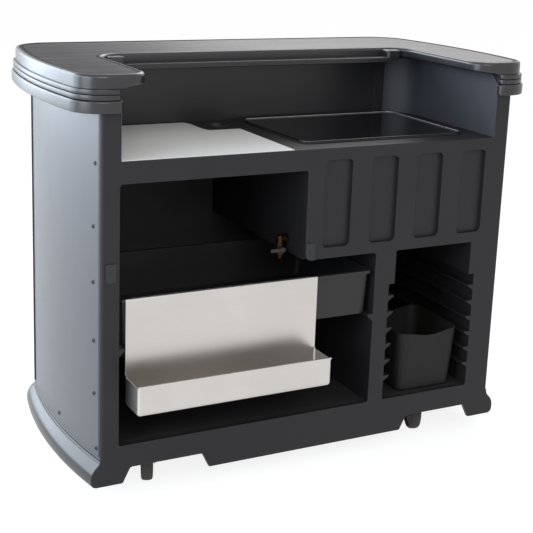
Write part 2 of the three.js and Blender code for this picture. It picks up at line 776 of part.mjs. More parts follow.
// Board outline grown by a margin, with a smooth sweep between its deep and shallow ends
function boardOutline(margin) {
  const cutX = BOARD_RIGHT - BOARD_CUT + margin;
  const deep = BOARD_DEEP + margin;
  const shallow = BOARD_SHALLOW + margin;
  const sweep = new THREE.CubicBezierCurve(
    new THREE.Vector2(cutX, shallow),
    new THREE.Vector2(cutX - BOARD_SWEEP, shallow),
    new THREE.Vector2(cutX, deep),
    new THREE.Vector2(cutX - BOARD_SWEEP, deep),
  );
  return [
    [BOARD_LEFT - margin, BOARD_LIP - margin],
    [BOARD_RIGHT + margin, BOARD_LIP - margin],
    [BOARD_RIGHT + margin, shallow],
    ...sweep.getPoints(BOARD_SWEEP_STEPS).map((point) => [point.x, point.y]),
    ...arc(
      BOARD_LEFT + LINER_RADIUS,
      deep - margin - LINER_RADIUS,
      LINER_RADIUS + margin,
      Math.PI / 2,
      Math.PI,
      LINER_STEPS,
    ),
  ];
}

function deck() {
  const plate = box(-DECK_HALF, DECK_HALF, 0, LINER_DEPTH + WALL, DECK_UNDERSIDE, DECK_TOP);
  const apron = box(
    -DECK_HALF, WELL_LEFT - GAP, 0, APRON, DECK_TOP - APRON_HEIGHT, DECK_TOP - DECK / 2,
  );
  const mouth = ICE_BIN_FLANGE - BOARD_CLEARANCE;
  const opening = roundedRectangle(
    ICE_LEFT + mouth, ICE_RIGHT - mouth, ICE_BIN_FRONT + mouth, ICE_REAR - mouth, ICE_BIN_RADIUS - mouth,
  );
  const hose = rodZ(GROMMET_NECK + GAP, DECK_UNDERSIDE - DECK, DECK_TOP + DECK);
  return cut(
    join(plate, apron),
    raised(opening, DECK_UNDERSIDE - DECK, DECK_TOP + DECK),
    raised(boardOutline(BOARD_CLEARANCE), DECK_TOP - BOARD_RECESS, DECK_TOP + DECK),
    hose.translate(HOSE_X, HOSE_DEPTH, 0),
  );
}

addPiece('deck', deck(), BLACK_MOULDING);

const BOARD_BOTTOM = DECK_TOP - BOARD_RECESS + GAP;
addPiece('cutting_board', raised(boardOutline(0), BOARD_BOTTOM, BOARD_BOTTOM + BOARD), OFF_WHITE_BOARD);

function hoseGrommet() {
  const section = [
    [HOSE_BORE, DECK_UNDERSIDE],
    [GROMMET_NECK, DECK_UNDERSIDE],
    [GROMMET_NECK, DECK_TOP + GAP],
    [GROMMET_FLANGE, DECK_TOP + GAP],
    [HOSE_BORE + GROMMET_LIP, DECK_TOP + GAP + GROMMET_LIP],
    [HOSE_BORE, DECK_TOP + GAP],
    [HOSE_BORE, DECK_UNDERSIDE],
  ].map(([radius, z]) => new THREE.Vector2(radius, z));
  return new THREE.LatheGeometry(section, PIN_FACETS).rotateX(Math.PI / 2).translate(HOSE_X, HOSE_DEPTH, 0);
}

addPiece('hose_grommet', hoseGrommet(), DARK_LINER);

// Ice bin, lid and drain

const FLANGE_BOTTOM = DECK_TOP + GAP;
const FLANGE_TOP = FLANGE_BOTTOM + ICE_BIN_FLANGE_EDGE;
const ICE_BOTTOM = FLANGE_TOP - ICE_BIN_HEIGHT;

function iceBin() {
  const pan = {
    x0: ICE_LEFT + ICE_BIN_FLANGE,
    x1: ICE_RIGHT - ICE_BIN_FLANGE,
    d0: ICE_BIN_FRONT + ICE_BIN_FLANGE,
    d1: ICE_REAR - ICE_BIN_FLANGE,
    z0: ICE_BOTTOM,
    z1: FLANGE_TOP,
    radius: ICE_BIN_RADIUS - ICE_BIN_FLANGE,
    draft: ICE_BIN_DRAFT,
    wall: ICE_BIN_WALL,
  };
  const edge = roundedRectangle(ICE_LEFT, ICE_RIGHT, ICE_BIN_FRONT, ICE_REAR, ICE_BIN_RADIUS);
  const mouth = roundedRectangle(
    pan.x0 + SEAM, pan.x1 - SEAM, pan.d0 + SEAM, pan.d1 - SEAM, pan.radius,
  );
  const flange = cut(
    raised(edge, FLANGE_BOTTOM, FLANGE_TOP),
    raised(mouth, FLANGE_BOTTOM - SEAM, FLANGE_TOP + SEAM),
  );
  return join(tub(pan), flange);
}

function iceLid() {
  const plan = roundedRectangle(
    ICE_LEFT + LID_MARGIN,
    ICE_RIGHT - LID_MARGIN,
    ICE_BIN_FRONT + LID_MARGIN,
    ICE_REAR - LID_MARGIN,
    ICE_BIN_RADIUS - LID_MARGIN,
  );
  return raised(plan, FLANGE_TOP + GAP, FLANGE_TOP + GAP + LID);
}

addPiece('ice_bin', iceBin(), TRAY_BLACK);
addPiece('ice_bin_lid', iceLid(), GLOSS_BLACK);

const VALVE_X = WELL_LEFT - GAP - DRAIN_NUT_LENGTH - VALVE_RADIUS;
const VALVE_TOP = DRAIN_Z - DRAIN_PIPE - GAP;
const VALVE_BOTTOM = VALVE_TOP - VALVE_LENGTH;
const LEVER_Z = (VALVE_TOP + VALVE_BOTTOM) / 2;
const LEVER_DEPTH = DRAIN_DEPTH - VALVE_RADIUS - VALVE_STEM_LENGTH;

// Outside of the ice bin's left wall at the height of the drain
function binWallAt(z) {
  const drop = (FLANGE_TOP - z) / ICE_BIN_HEIGHT;
  return ICE_LEFT + ICE_BIN_FLANGE + ICE_BIN_DRAFT * drop;
}

function drainElbow() {
  const pipe = rodX(DRAIN_PIPE, VALVE_X, binWallAt(DRAIN_Z + DRAIN_PIPE) - GAP);
  const nut = rodX(DRAIN_NUT, WELL_LEFT - GAP - DRAIN_NUT_LENGTH, WELL_LEFT - GAP, NUT_FACETS);
  const turn = rodZ(DRAIN_PIPE, -DRAIN_PIPE, DRAIN_PIPE).translate(VALVE_X, 0, 0);
  return join(pipe, nut, turn).translate(0, DRAIN_DEPTH, DRAIN_Z);
}

function drainValve() {
  const bodyRod = rodZ(VALVE_RADIUS, VALVE_BOTTOM, VALVE_TOP);
  const nozzle = rodZ(VALVE_NOZZLE, VALVE_BOTTOM - VALVE_NOZZLE_LENGTH, VALVE_BOTTOM + VALVE_NOZZLE);
  const stem = rodY(VALVE_STEM, -VALVE_RADIUS - VALVE_STEM_LENGTH, 0).translate(0, 0, LEVER_Z);
  return join(bodyRod, nozzle, stem).translate(VALVE_X, DRAIN_DEPTH, 0);
}

function drainLever() {
  const hub = rodY(LEVER_HUB, -LEVER, 0);
  const arm = box(-LEVER_LENGTH, 0, -LEVER, 0, -LEVER_WIDTH / 2, LEVER_WIDTH / 2);
  return join(hub, arm).translate(VALVE_X, LEVER_DEPTH - GAP, LEVER_Z);
}

addPiece('drain_elbow', drainElbow(), BRASS);
addPiece('drain_valve', drainValve(), BRASS);
addPiece('drain_lever', drainLever(), PALE_LEVER);

// Storage tray on its ledges, and the speed rail hung on its front rim

const TRAY_LEFT = -OPENING_HALF + TRAY_SIDE_GAP;
const TRAY_RIGHT = DIVIDER_LEFT - TRAY_SIDE_GAP;
const TRAY_BOTTOM = LEDGE_TOP + GAP;
const TRAY_TOP = TRAY_BOTTOM + TRAY_HEIGHT;

function storageTray() {
  const pan = {
    x0: TRAY_LEFT,
    x1: TRAY_RIGHT,
    d0: TRAY_FRONT,
    d1: TRAY_FRONT + TRAY_DEPTH,
    z0: TRAY_BOTTOM,
    z1: TRAY_TOP,
    radius: TRAY_RADIUS,
    draft: TRAY_DRAFT,
    wall: TRAY_WALL,
  };
  const lip = TRAY_RIM / 2;
  const rimPlan = roundedRectangle(
    pan.x0 - lip, pan.x1 + lip, pan.d0 - TRAY_RIM, pan.d1 + TRAY_RIM, TRAY_RADIUS,
  );
  const hole = roundedRectangle(
    pan.x0 + SEAM, pan.x1 - SEAM, pan.d0 + SEAM, pan.d1 - SEAM, TRAY_RADIUS - SEAM,
  );
  const rimBottom = TRAY_TOP - TRAY_RIM_EDGE;
  const rim = cut(raised(rimPlan, rimBottom, TRAY_TOP), raised(hole, rimBottom - SEAM, TRAY_TOP + SEAM));
  return join(tub(pan), rim);
}

addPiece('storage_tray', storageTray(), TRAY_BLACK);

// Thin sheet following a line of [depth, z] points
function ribbon(points, thickness) {
  const line = points.map(([a, b]) => new THREE.Vector2(a, b));
  const side = (sign) => line.map((point, i) => {
    const before = line[Math.max(i - 1, 0)];
    const after = line[Math.min(i + 1, line.length - 1)];
    const inward = new THREE.Vector2().subVectors(point, before).normalize();
    const outward = new THREE.Vector2().subVectors(after, point).normalize();
    const heading = inward.clone().add(outward).normalize();
    const stretch = 1 / Math.max(heading.dot(outward.lengthSq() > 0 ? outward : inward), MITRE_LIMIT);
    return [
      point.x - heading.y * sign * stretch * thickness / 2,
      point.y + heading.x * sign * stretch * thickness / 2,
    ];
  });
  return [...side(1), ...side(-1).reverse()];
}

const RAIL_LEFT = TRAY_LEFT + RAIL_INSET;
const RAIL_BACK = TRAY_FRONT - TRAY_RIM - GAP - RAIL_SHEET / 2;
const RAIL_TOP = TRAY_TOP + GAP + RAIL_SHEET / 2;
const RAIL_BOTTOM = RAIL_TOP - RAIL_HEIGHT;
const RAIL_FRONT = -RAIL_REACH + RAIL_SHEET / 2;
const RAIL_LIP_TOP = RAIL_BOTTOM + RAIL_LIP;

function speedRail() {
  const hookDepth = TRAY_FRONT + TRAY_WALL + RAIL_HOOK_ROOM;
  const bend = (depth, from, to) => arc(
    depth, RAIL_BOTTOM + RAIL_BEND, RAIL_BEND, from, to, TUB_CORNER_STEPS,
  );
  const right = RAIL_LEFT + RAIL_LENGTH;
  const hookLine = [
    [hookDepth, RAIL_TOP - RAIL_HOOK],
    [hookDepth, RAIL_TOP],
    [RAIL_BACK, RAIL_TOP],
    [RAIL_BACK, RAIL_TOP - RAIL_HOOK],
  ];
  const troughLine = [
    [RAIL_BACK, RAIL_TOP],
    ...bend(RAIL_BACK - RAIL_BEND, 0, -Math.PI / 2),
    ...bend(RAIL_FRONT + RAIL_BEND, -Math.PI / 2, -Math.PI),
    [RAIL_FRONT, RAIL_LIP_TOP],
  ];
  const hook = carriedAcross(ribbon(hookLine, RAIL_SHEET), RAIL_LEFT + TRAY_RADIUS, right - TRAY_RADIUS);
  const sheet = carriedAcross(ribbon(troughLine, RAIL_SHEET), RAIL_LEFT, right);
  const end = [
    ...bend(RAIL_BACK - RAIL_BEND, 0, -Math.PI / 2),
    ...bend(RAIL_FRONT + RAIL_BEND, -Math.PI / 2, -Math.PI),
    [RAIL_FRONT, RAIL_LIP_TOP],
    [RAIL_BACK, RAIL_LIP_TOP],
  ];
  return join(
    hook,
    sheet,
    carriedAcross(end, RAIL_LEFT, RAIL_LEFT + RAIL_SHEET),
    carriedAcross(end, right - RAIL_SHEET, right),
  );
}

addPiece('speed_rail', speedRail(), STAINLESS);

// Waste bin in the rack bay

function wasteBin() {
  const middle = (RACK_LEFT + RACK_RIGHT) / 2 + WASTE_SHIFT;
  const top = FLOOR_TOP + GAP + WASTE_HEIGHT;
  const pan = tub({
    x0: middle - WASTE_WIDTH / 2,
    x1: middle + WASTE_WIDTH / 2,
    d0: WASTE_FRONT,
    d1: WASTE_FRONT + WASTE_DEPTH,
    z0: FLOOR_TOP + GAP,
    z1: top,
    radius: WASTE_RADIUS,
    draft: WASTE_DRAFT,
    wall: WASTE_WALL,
  });
  const wave = [];
  for (let i = 0; i <= WASTE_WAVE_STEPS; i += 1) {
    const along = i / WASTE_WAVE_STEPS - 0.5;
    const dip = (WASTE_WAVE * (1 + Math.cos(2 * Math.PI * along))) / 2;
    wave.push([middle + along * (WASTE_WIDTH - WASTE_RADIUS), top - dip]);
  }
  const half = WASTE_WIDTH;
  const above = [
    [middle - half, top],
    ...wave,
    [middle + half, top],
    [middle + half, top + half],
    [middle - half, top + half],
  ];
  return cut(pan, carriedBack(above, WASTE_FRONT - WASTE_WALL, WASTE_FRONT + WASTE_DEPTH + WASTE_WALL));
}

addPiece('waste_bin', wasteBin(), BIN_GREY);

// Splash walls above the deck

const SPLASH_BOTTOM = DECK_TOP + GAP;
const SPLASH_TOP = SLAB_BOTTOM - GAP;
const LINER_FACE = OPENING_HALF - GAP;

addPiece(
  'splash_back',
  box(-DECK_HALF, DECK_HALF, SPLASH_DEPTH, SPLASH_DEPTH + WALL, SPLASH_BOTTOM, SPLASH_TOP),
  BLACK_MOULDING,
);

function splashSheet(side) {
  const bendX = LINER_FACE - LINER_RADIUS;
  const bendD = SPLASH_DEPTH - GAP - LINER_RADIUS;
  const edge = (radius, x) => [[x, GAP], ...arc(bendX, bendD, radius, 0, Math.PI / 2, LINER_STEPS)];
  const right = [
    ...edge(LINER_RADIUS, LINER_FACE),
    ...edge(LINER_RADIUS - LINER_SHEET, LINER_FACE - LINER_SHEET).reverse(),
  ];
  const sheet = raised(side > 0 ? right : mirrored(right), SPLASH_BOTTOM, SPLASH_TOP);
  const corner = [
    [-SEAM, SPLASH_TOP - LINER_CHAMFER],
    [LINER_CHAMFER, SPLASH_TOP + SEAM],
    [-SEAM, SPLASH_TOP + SEAM],
  ];
  return cut(sheet, carriedAcross(corner, -BODY_HALF_LENGTH, BODY_HALF_LENGTH));
}

function cornerStrip(side) {
  const outer = LINER_FACE - LINER_RADIUS - GAP;
  const inner = outer - STRIP_WIDTH;
  const [x0, x1] = side > 0 ? [inner, outer] : [-outer, -inner];
  return box(x0, x1, SPLASH_DEPTH - GAP - LINER_SHEET, SPLASH_DEPTH - GAP, SPLASH_BOTTOM, SPLASH_TOP);
}

addPiece('left_splash_sheet', splashSheet(-1), DECOR_SHEET);
addPiece('right_splash_sheet', splashSheet(1), DECOR_SHEET);
addPiece('left_corner_strip', cornerStrip(-1), BLACK_MOULDING);
addPiece('right_corner_strip', cornerStrip(1), BLACK_MOULDING);

// Counter top, its inlay and the ledge below its inner edge

// Edge section [offset, z], from the lower band up to the raised rim
function counterSection() {
  const beads = COUNTER_OVERHANG - BEAD_INSET;
  const nose = COUNTER_OVERHANG - SLAB_INSET;
  const bandTop = FASCIA_BOTTOM + BAND_HEIGHT;
  const beadPitch = (SLAB_BOTTOM - bandTop) / 2;
  return [
    [COUNTER_OVERHANG, FASCIA_BOTTOM],
    [COUNTER_OVERHANG, bandTop - BEAD],
    [beads, bandTop],
    [beads + BEAD, bandTop + beadPitch / 2],
    [beads, bandTop + beadPitch],
    [beads + BEAD, SLAB_BOTTOM - beadPitch / 2],
    [beads - BEAD, SLAB_BOTTOM],
    [nose, SLAB_BOTTOM + NOSE],
    [nose, COUNTER_TOP - NOSE],
    [nose - NOSE_CHAMFER, COUNTER_TOP - NOSE_CHAMFER],
    [nose - NOSE, COUNTER_TOP],
  ];
}

const SLAB_FRONT = FRONT_CENTRE_D - FRONT_CORNER_RADIUS - COUNTER_OVERHANG + SLAB_INSET;

// Space between the wings, widened all round by a margin
function betweenWings(margin) {
  const half = WING_INNER + margin;
  const rear = WING_REAR + margin;
  const radius = WING_CORNER + margin;
  const noseX = WING_INNER + WING_FRONT_RADIUS;
  const noseD = SLAB_FRONT + WING_FRONT_RADIUS;
  const right = [
    [noseX, -BODY_DEPTH],
    ...arc(noseX, noseD, WING_FRONT_RADIUS - margin, -Math.PI / 2, -Math.PI, CORNER_STEPS),
    ...arc(half - radius, rear - radius, radius, 0, Math.PI / 2, CORNER_STEPS),
  ];
  return [...right, ...mirrored(right)];
}

const INLAY_EDGE = COUNTER_OVERHANG - SLAB_INSET - NOSE - RIM;
const INLAY_BOTTOM = COUNTER_TOP - INLAY_DROP - INLAY;

function inlayPlan(inset, z0, z1) {
  const whole = raised(aroundCounter(INLAY_EDGE - inset), z0, z1);
  return cut(whole, raised(betweenWings(RIM + inset), z0 - SLAB, z1 + SLAB));
}

function counterTop() {
  const rings = counterSection().map(([offset, z]) => aroundCounter(offset).map(([x, d]) => [x, d, z]));
  const block = loft(rings, aroundCounter(0));
  const aroundBody = raised(aroundBar(GAP, -GAP), FASCIA_BOTTOM - SLAB, SLAB_BOTTOM);
  const betweenWraps = box(-WRAP_END, WRAP_END, -BODY_DEPTH, POST_DEPTH, FASCIA_BOTTOM - SLAB, SLAB_BOTTOM);
  const well = raised(betweenWings(0), FASCIA_BOTTOM - SLAB, COUNTER_TOP + SLAB);
  const recess = inlayPlan(0, INLAY_BOTTOM - GAP, COUNTER_TOP + SLAB);
  return cut(block, aroundBody, betweenWraps, well, recess);
}

function glassLedge() {
  const front = WING_REAR - GAP - GLASS_LEDGE_REACH;
  const top = COUNTER_TOP - GLASS_LEDGE_DROP;
  const bottom = top - GLASS_LEDGE_HEIGHT;
  const outline = [
    [front, bottom],
    [WING_REAR + GLASS_LEDGE_GRIP, bottom],
    [WING_REAR + GLASS_LEDGE_GRIP, SLAB_BOTTOM - GAP],
    [WING_REAR - GAP, SLAB_BOTTOM - GAP],
    [WING_REAR - GAP, top],
    [front, top],
  ];
  const half = WING_INNER - GLASS_LEDGE_END;
  return carriedAcross(outline, -half, half);
}

addPiece('counter_top', counterTop(), BLACK_MOULDING);
addPiece('counter_inlay', inlayPlan(GAP, INLAY_BOTTOM, COUNTER_TOP - INLAY_DROP), GREY_LAMINATE);
addPiece('glass_ledge', glassLedge(), BLACK_MOULDING);

// Lock plates beside the storage opening, each with its bolt

function lockPlate(x0, radius) {
  const z0 = WELL_FLOOR_Z;
  const outline = [
    ...arc(x0 + radius, z0 + radius, radius, Math.PI, 1.5 * Math.PI, CORNER_STEPS),
    [x0 + LOCK_PLATE_WIDTH, z0],
    [x0 + LOCK_PLATE_WIDTH, z0 + LOCK_PLATE_HEIGHT],
    [x0, z0 + LOCK_PLATE_HEIGHT],
  ];
  const plate = carriedBack(outline, -LOCK_PLATE - GAP, -GAP);
  const bolt = rodY(LOCK_BOLT, -LOCK_PLATE - LOCK_BOLT_HEAD - GAP, -LOCK_PLATE / 2 - GAP, NUT_FACETS);
  return join(plate, bolt.translate(x0 + LOCK_PLATE_WIDTH / 2, 0, z0 + LOCK_PLATE_HEIGHT / 2));
}

const LOCK_LEFT = -OPENING_HALF - LOCK_INSET - LOCK_PLATE_WIDTH;
addPiece('left_lock_plate', lockPlate(LOCK_LEFT, LOCK_RADIUS), PLATE_GREY);
addPiece('right_lock_plate', lockPlate(WELL_LEFT, PANEL_CORNER), PLATE_GREY);

// Casters: each is drawn about its king pin, with the wheel trailing towards -Y

const AXLE_Z = WHEEL_RADIUS * Math.cos(Math.PI / WHEEL_FACETS);
const PLATE_TOP = FLOOR_TOP - FLOOR - GAP;
const RACEWAY_BOTTOM = PLATE_TOP - PLATE - RACEWAY_HEIGHT;
const CROWN_TOP = RACEWAY_BOTTOM - RUNNING;
const CROWN_BOTTOM = CROWN_TOP - FORK_CROWN;
const LEG_INNER = WHEEL_WIDTH / 2 + FORK_SIDE_GAP;
const LEG_OUTER = LEG_INNER + FORK_SHEET;

function casterPlate() {
  const plate = box(
    -PLATE_LENGTH / 2, PLATE_LENGTH / 2, -PLATE_WIDTH / 2, PLATE_WIDTH / 2, PLATE_TOP - PLATE, PLATE_TOP,
  );
  const raceway = rodZ(RACEWAY_RADIUS, RACEWAY_BOTTOM, PLATE_TOP - PLATE / 2);
  const pin = rodZ(KING_PIN, CROWN_BOTTOM - KING_PIN_HEAD_HEIGHT, RACEWAY_BOTTOM + RACEWAY_HEIGHT / 2);
  const head = rodZ(
    KING_PIN_HEAD, CROWN_BOTTOM - RUNNING - KING_PIN_HEAD_HEIGHT, CROWN_BOTTOM - RUNNING,
  );
  return join(plate, raceway, pin, head);
}

function casterFork() {
  const leg = [
    [-TRAIL - FORK_TOE, AXLE_Z - FORK_TOE],
    [-TRAIL + FORK_TOE, AXLE_Z - FORK_TOE],
    [RACEWAY_RADIUS, CROWN_BOTTOM],
    [RACEWAY_RADIUS, CROWN_TOP],
    [-RACEWAY_RADIUS, CROWN_TOP],
    [-TRAIL - FORK_TOE, AXLE_Z + FORK_HEEL],
  ];
  const crown = box(-LEG_OUTER, LEG_OUTER, -RACEWAY_RADIUS, RACEWAY_RADIUS, CROWN_BOTTOM, CROWN_TOP);
  const whole = join(
    carriedAcross(leg, LEG_INNER, LEG_OUTER),
    carriedAcross(leg, -LEG_OUTER, -LEG_INNER),
    crown,
  );
  const axleHole = rodX(AXLE_RADIUS + RUNNING, -2 * LEG_OUTER, 2 * LEG_OUTER).translate(0, -TRAIL, AXLE_Z);
  const pinHole = rodZ(KING_PIN + RUNNING, CROWN_BOTTOM - FORK_CROWN, CROWN_TOP + FORK_CROWN);
  return cut(whole, axleHole, pinHole);
}

function casterAxle() {
  const shank = rodX(AXLE_RADIUS, -LEG_OUTER - AXLE_HEAD_LENGTH, LEG_OUTER + AXLE_HEAD_LENGTH);
  const head = LEG_OUTER + GAP;
  const right = rodX(AXLE_HEAD, head, head + AXLE_HEAD_LENGTH, NUT_FACETS);
  const left = rodX(AXLE_HEAD, -head - AXLE_HEAD_LENGTH, -head, NUT_FACETS);
  return join(shank, right, left).translate(0, -TRAIL, AXLE_Z);
}

function casterWheel() {
  const half = WHEEL_WIDTH / 2;
  const bore = AXLE_RADIUS + RUNNING;
  const right = [
    [WHEEL_RADIUS, half - WHEEL_EDGE],
    [WHEEL_RADIUS - WHEEL_EDGE, half],
    [WHEEL_RIM + WHEEL_EDGE, half],
    [WHEEL_RIM, half - WHEEL_DISH],
    [WHEEL_HUB + WHEEL_FILLET, half - WHEEL_DISH],
    [WHEEL_HUB, half],
    [bore, half],
  ];
  const left = right.map(([radius, along]) => [radius, -along]).reverse();
  const section = [...right, ...left, right[0]].map(([radius, along]) => new THREE.Vector2(radius, along));
  return new THREE.LatheGeometry(section, WHEEL_FACETS)
    .rotateY(Math.PI / WHEEL_FACETS)
    .rotateZ(Math.PI / 2)
    .translate(0, -TRAIL, AXLE_Z);
}

function addCaster(name, x, depth) {
  const caster = new THREE.Group();
  caster.position.set(x, depth, 0);
  const swivel = new THREE.Group();
  swivel.rotation.z = SWIVEL_TURN;
  caster.add(swivel);
  body.add(caster);
  addPiece(`${name}_caster_plate`, casterPlate(), ZINC, caster);
  addPiece(`${name}_caster_fork`, casterFork(), ZINC, swivel);
  addPiece(`${name}_caster_axle`, casterAxle(), ZINC, swivel);
  addPiece(`${name}_caster_wheel`, casterWheel(), WHEEL_RUBBER, swivel);
}

const CASTER_X = BODY_HALF_LENGTH - CASTER_INSET;
const CASTER_REAR = BODY_DEPTH - CASTER_REAR_INSET;
addCaster('front_left', -CASTER_X, CASTER_FRONT);
addCaster('front_right', CASTER_X, CASTER_FRONT);
addCaster('rear_left', -CASTER_X, CASTER_REAR);
addCaster('rear_right', CASTER_X, CASTER_REAR);

export default bar;
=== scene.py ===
"""Dresses the CAD frame of a rolling portable bar: softer forms, finishes and a plain studio."""

import json
import math

import bmesh
import bpy
from mathutils import Matrix, Vector


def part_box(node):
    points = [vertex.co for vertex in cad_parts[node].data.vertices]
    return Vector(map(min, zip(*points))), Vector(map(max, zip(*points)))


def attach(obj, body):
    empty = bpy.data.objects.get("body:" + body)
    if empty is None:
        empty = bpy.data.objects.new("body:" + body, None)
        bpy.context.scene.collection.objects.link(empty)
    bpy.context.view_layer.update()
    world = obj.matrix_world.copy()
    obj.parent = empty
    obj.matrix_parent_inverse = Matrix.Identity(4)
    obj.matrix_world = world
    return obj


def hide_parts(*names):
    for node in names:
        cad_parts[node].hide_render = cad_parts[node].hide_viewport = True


bl_info = {
    "name": "Portable bar looks",
    "version": (1, 0, 0),
    "blender": (4, 5, 0),
    "location": "3D View > Sidebar > Portable bar",
    "description": "Dresses the CAD frame of a rolling portable bar",
    "category": "Object",
}

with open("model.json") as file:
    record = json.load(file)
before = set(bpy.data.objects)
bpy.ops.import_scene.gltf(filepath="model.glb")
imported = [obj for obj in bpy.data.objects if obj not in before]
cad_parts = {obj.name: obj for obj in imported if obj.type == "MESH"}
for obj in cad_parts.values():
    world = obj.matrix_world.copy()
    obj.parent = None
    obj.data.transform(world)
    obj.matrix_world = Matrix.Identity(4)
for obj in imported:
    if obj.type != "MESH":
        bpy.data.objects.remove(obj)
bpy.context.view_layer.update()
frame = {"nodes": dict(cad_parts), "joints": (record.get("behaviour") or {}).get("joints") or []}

MM = 0.001
MERGE = 1e-5
ON_PLANE = 1e-7
QUARTER = math.pi / 2

# Pieces that meet overlap, or clear each other, by a hair
HAIR = 0.3

# The front plane of the moulding: depths are measured back from it, in millimetres
FRONT_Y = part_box("front_rail")[0].y


def at(x, depth, z):
    """A point in metres, from millimetres along the bar, behind the front plane and up."""
    return Vector((x * MM, FRONT_Y + depth * MM, z * MM))


class Span:
    """A CAD node's box in millimetres: x, depth behind the front plane and height."""

    def __init__(self, node):
        low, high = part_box(node)
        self.x0, self.x1 = low.x / MM, high.x / MM
        self.d0, self.d1 = (low.y - FRONT_Y) / MM, (high.y - FRONT_Y) / MM
        self.z0, self.z1 = low.z / MM, high.z / MM
        self.wide, self.deep, self.high = self.x1 - self.x0, self.d1 - self.d0, self.z1 - self.z0
        self.x, self.depth = self.x0 + self.wide / 2, self.d0 + self.deep / 2


# Plan of the bar: gently bowed ends, round rear corners and a straight customer side
WIDEST_HALF = 664
BOW_RADIUS = 1600
BOW_DEPTH = 285
BOW_STEPS = 36
REAR_RADIUS = 75
REAR_STEPS = 18
BODY_DEPTH = 671
BOW_X = WIDEST_HALF - BOW_RADIUS
REAR_DEPTH = BODY_DEPTH - REAR_RADIUS
REAR_ANGLE = math.asin((REAR_DEPTH - BOW_DEPTH) / (BOW_RADIUS - REAR_RADIUS))
REAR_X = BOW_X + (BOW_RADIUS - REAR_RADIUS) * math.cos(REAR_ANGLE)

# Plan of the counter's front corners
CORNER_RADIUS = 30
CORNER_DEPTH = 68
CORNER_STEPS = 16
CORNER_ANGLE = math.asin((CORNER_DEPTH - BOW_DEPTH) / (BOW_RADIUS - CORNER_RADIUS))
CORNER_X = BOW_X + (BOW_RADIUS - CORNER_RADIUS) * math.cos(CORNER_ANGLE)

# Reach of the counter's layers past the body, its raised rim and its wings
BAND_EDGE = 58
SLAB_EDGE = 46
INLAY_EDGE = 27
RIM_INNER = 17
WRAP_END = 584
WING_NOSE = 62
RECESS_NOSE = 44
GROOVE = 2
UNDERCUT = 70

# Front of the moulding
OPENING_HALF = 588
FACE_HALF = BOW_X + math.sqrt(BOW_RADIUS ** 2 - BOW_DEPTH ** 2)
FLOOR_TOP = Span("floor_panel").z1
WELL_BOTTOM = Span("ribbed_front").z0
WELL_LEFT = Span("ribbed_front").x0
DECK_TOP = Span("deck").z1
APRON_BOTTOM = Span("deck").z0
SLAB_BOTTOM = Span("splash_back").z1
FOOT = Span("front_rail").z0
SKIRT_TOP = Span("base_skirt").z1
DIVIDER_LEFT = 197
RACK_LEFT = 267
RACK_RIGHT = 535

BAR = "bar"
SIDES = {"left": -1, "right": 1}


def end_angle(depth):
    """Angle on the bowed end's arc at a depth."""
    return math.asin((depth - BOW_DEPTH) / BOW_RADIUS)


def end_half(depth):
    """Half length of the bar at a depth."""
    return BOW_X + BOW_RADIUS * math.cos(end_angle(depth))


# Rounded outer corners of the posts, which the front face laps
NOSE_RADIUS = 10
NOSE_X = end_half(NOSE_RADIUS) - NOSE_RADIUS
FACE_LAP = 2.6


class Finish:
    """A socket of one material's nodes; arithmetic on it adds Math nodes."""

    def __init__(self, tree, socket=None):
        self.tree = tree
        self.socket = socket

    def node(self, kind, settings=None, inputs=None, output=0):
        """Adds a node: its settings first, then the values or links of its sockets."""
        made = self.tree.nodes.new(kind)
        for name, value in (settings or {}).items():
            if name == "stops":
                ramp = made.color_ramp.elements
                while len(ramp) < len(value):
                    ramp.new(1.0)
                for element, (place, shade) in zip(ramp, value):
                    element.position = place
                    element.color = (shade, shade, shade, 1.0)
            else:
                setattr(made, name, value)
        for name, value in (inputs or {}).items():
            if isinstance(value, Finish):
                self.tree.links.new(value.socket, made.inputs[name])
            else:
                made.inputs[name].default_value = value
        return Finish(self.tree, made.outputs[output] if made.outputs else None)

    def math(self, operation, *terms):
        """A Math node on numbers and sockets."""
        return self.node("ShaderNodeMath", {"operation": operation}, dict(enumerate(terms)))

    def __add__(self, other):
        return self.math("ADD", self, other)

    __radd__ = __add__

    def __sub__(self, other):
        return self.math("SUBTRACT", self, other)

    def __rsub__(self, other):
        return self.math("SUBTRACT", other, self)

    def __mul__(self, other):
        return self.math("MULTIPLY", self, other)

    __rmul__ = __mul__

    def between(self, low, high):
        """A colour between two, by this value."""
        settings = {"data_type": "RGBA"}
        return self.node("ShaderNodeMix", settings, {0: self, 6: rgba(low), 7: rgba(high)}, 2)

    def ramp(self, low, high):
        """This value, stretched so that low is 0 and high is 1."""
        stops = [(low, 0.0), (high, 1.0)]
        return self.node("ShaderNodeValToRGB", {"stops": stops}, {"Fac": self}, "Color")

    def bump(self, depth, strength=1.0):
        """A normal raised by this value, to a depth in metres."""
        inputs = {"Strength": strength, "Distance": depth, "Height": self}
        return self.node("ShaderNodeBump", None, inputs, "Normal")


def rgba(colour):
    """A colour with its alpha."""
    return tuple(colour[:3]) + (1.0,)


def shaded(colour, share):
    """A colour made lighter or darker by a share."""
    return [min(channel * share, 1.0) for channel in colour[:3]]


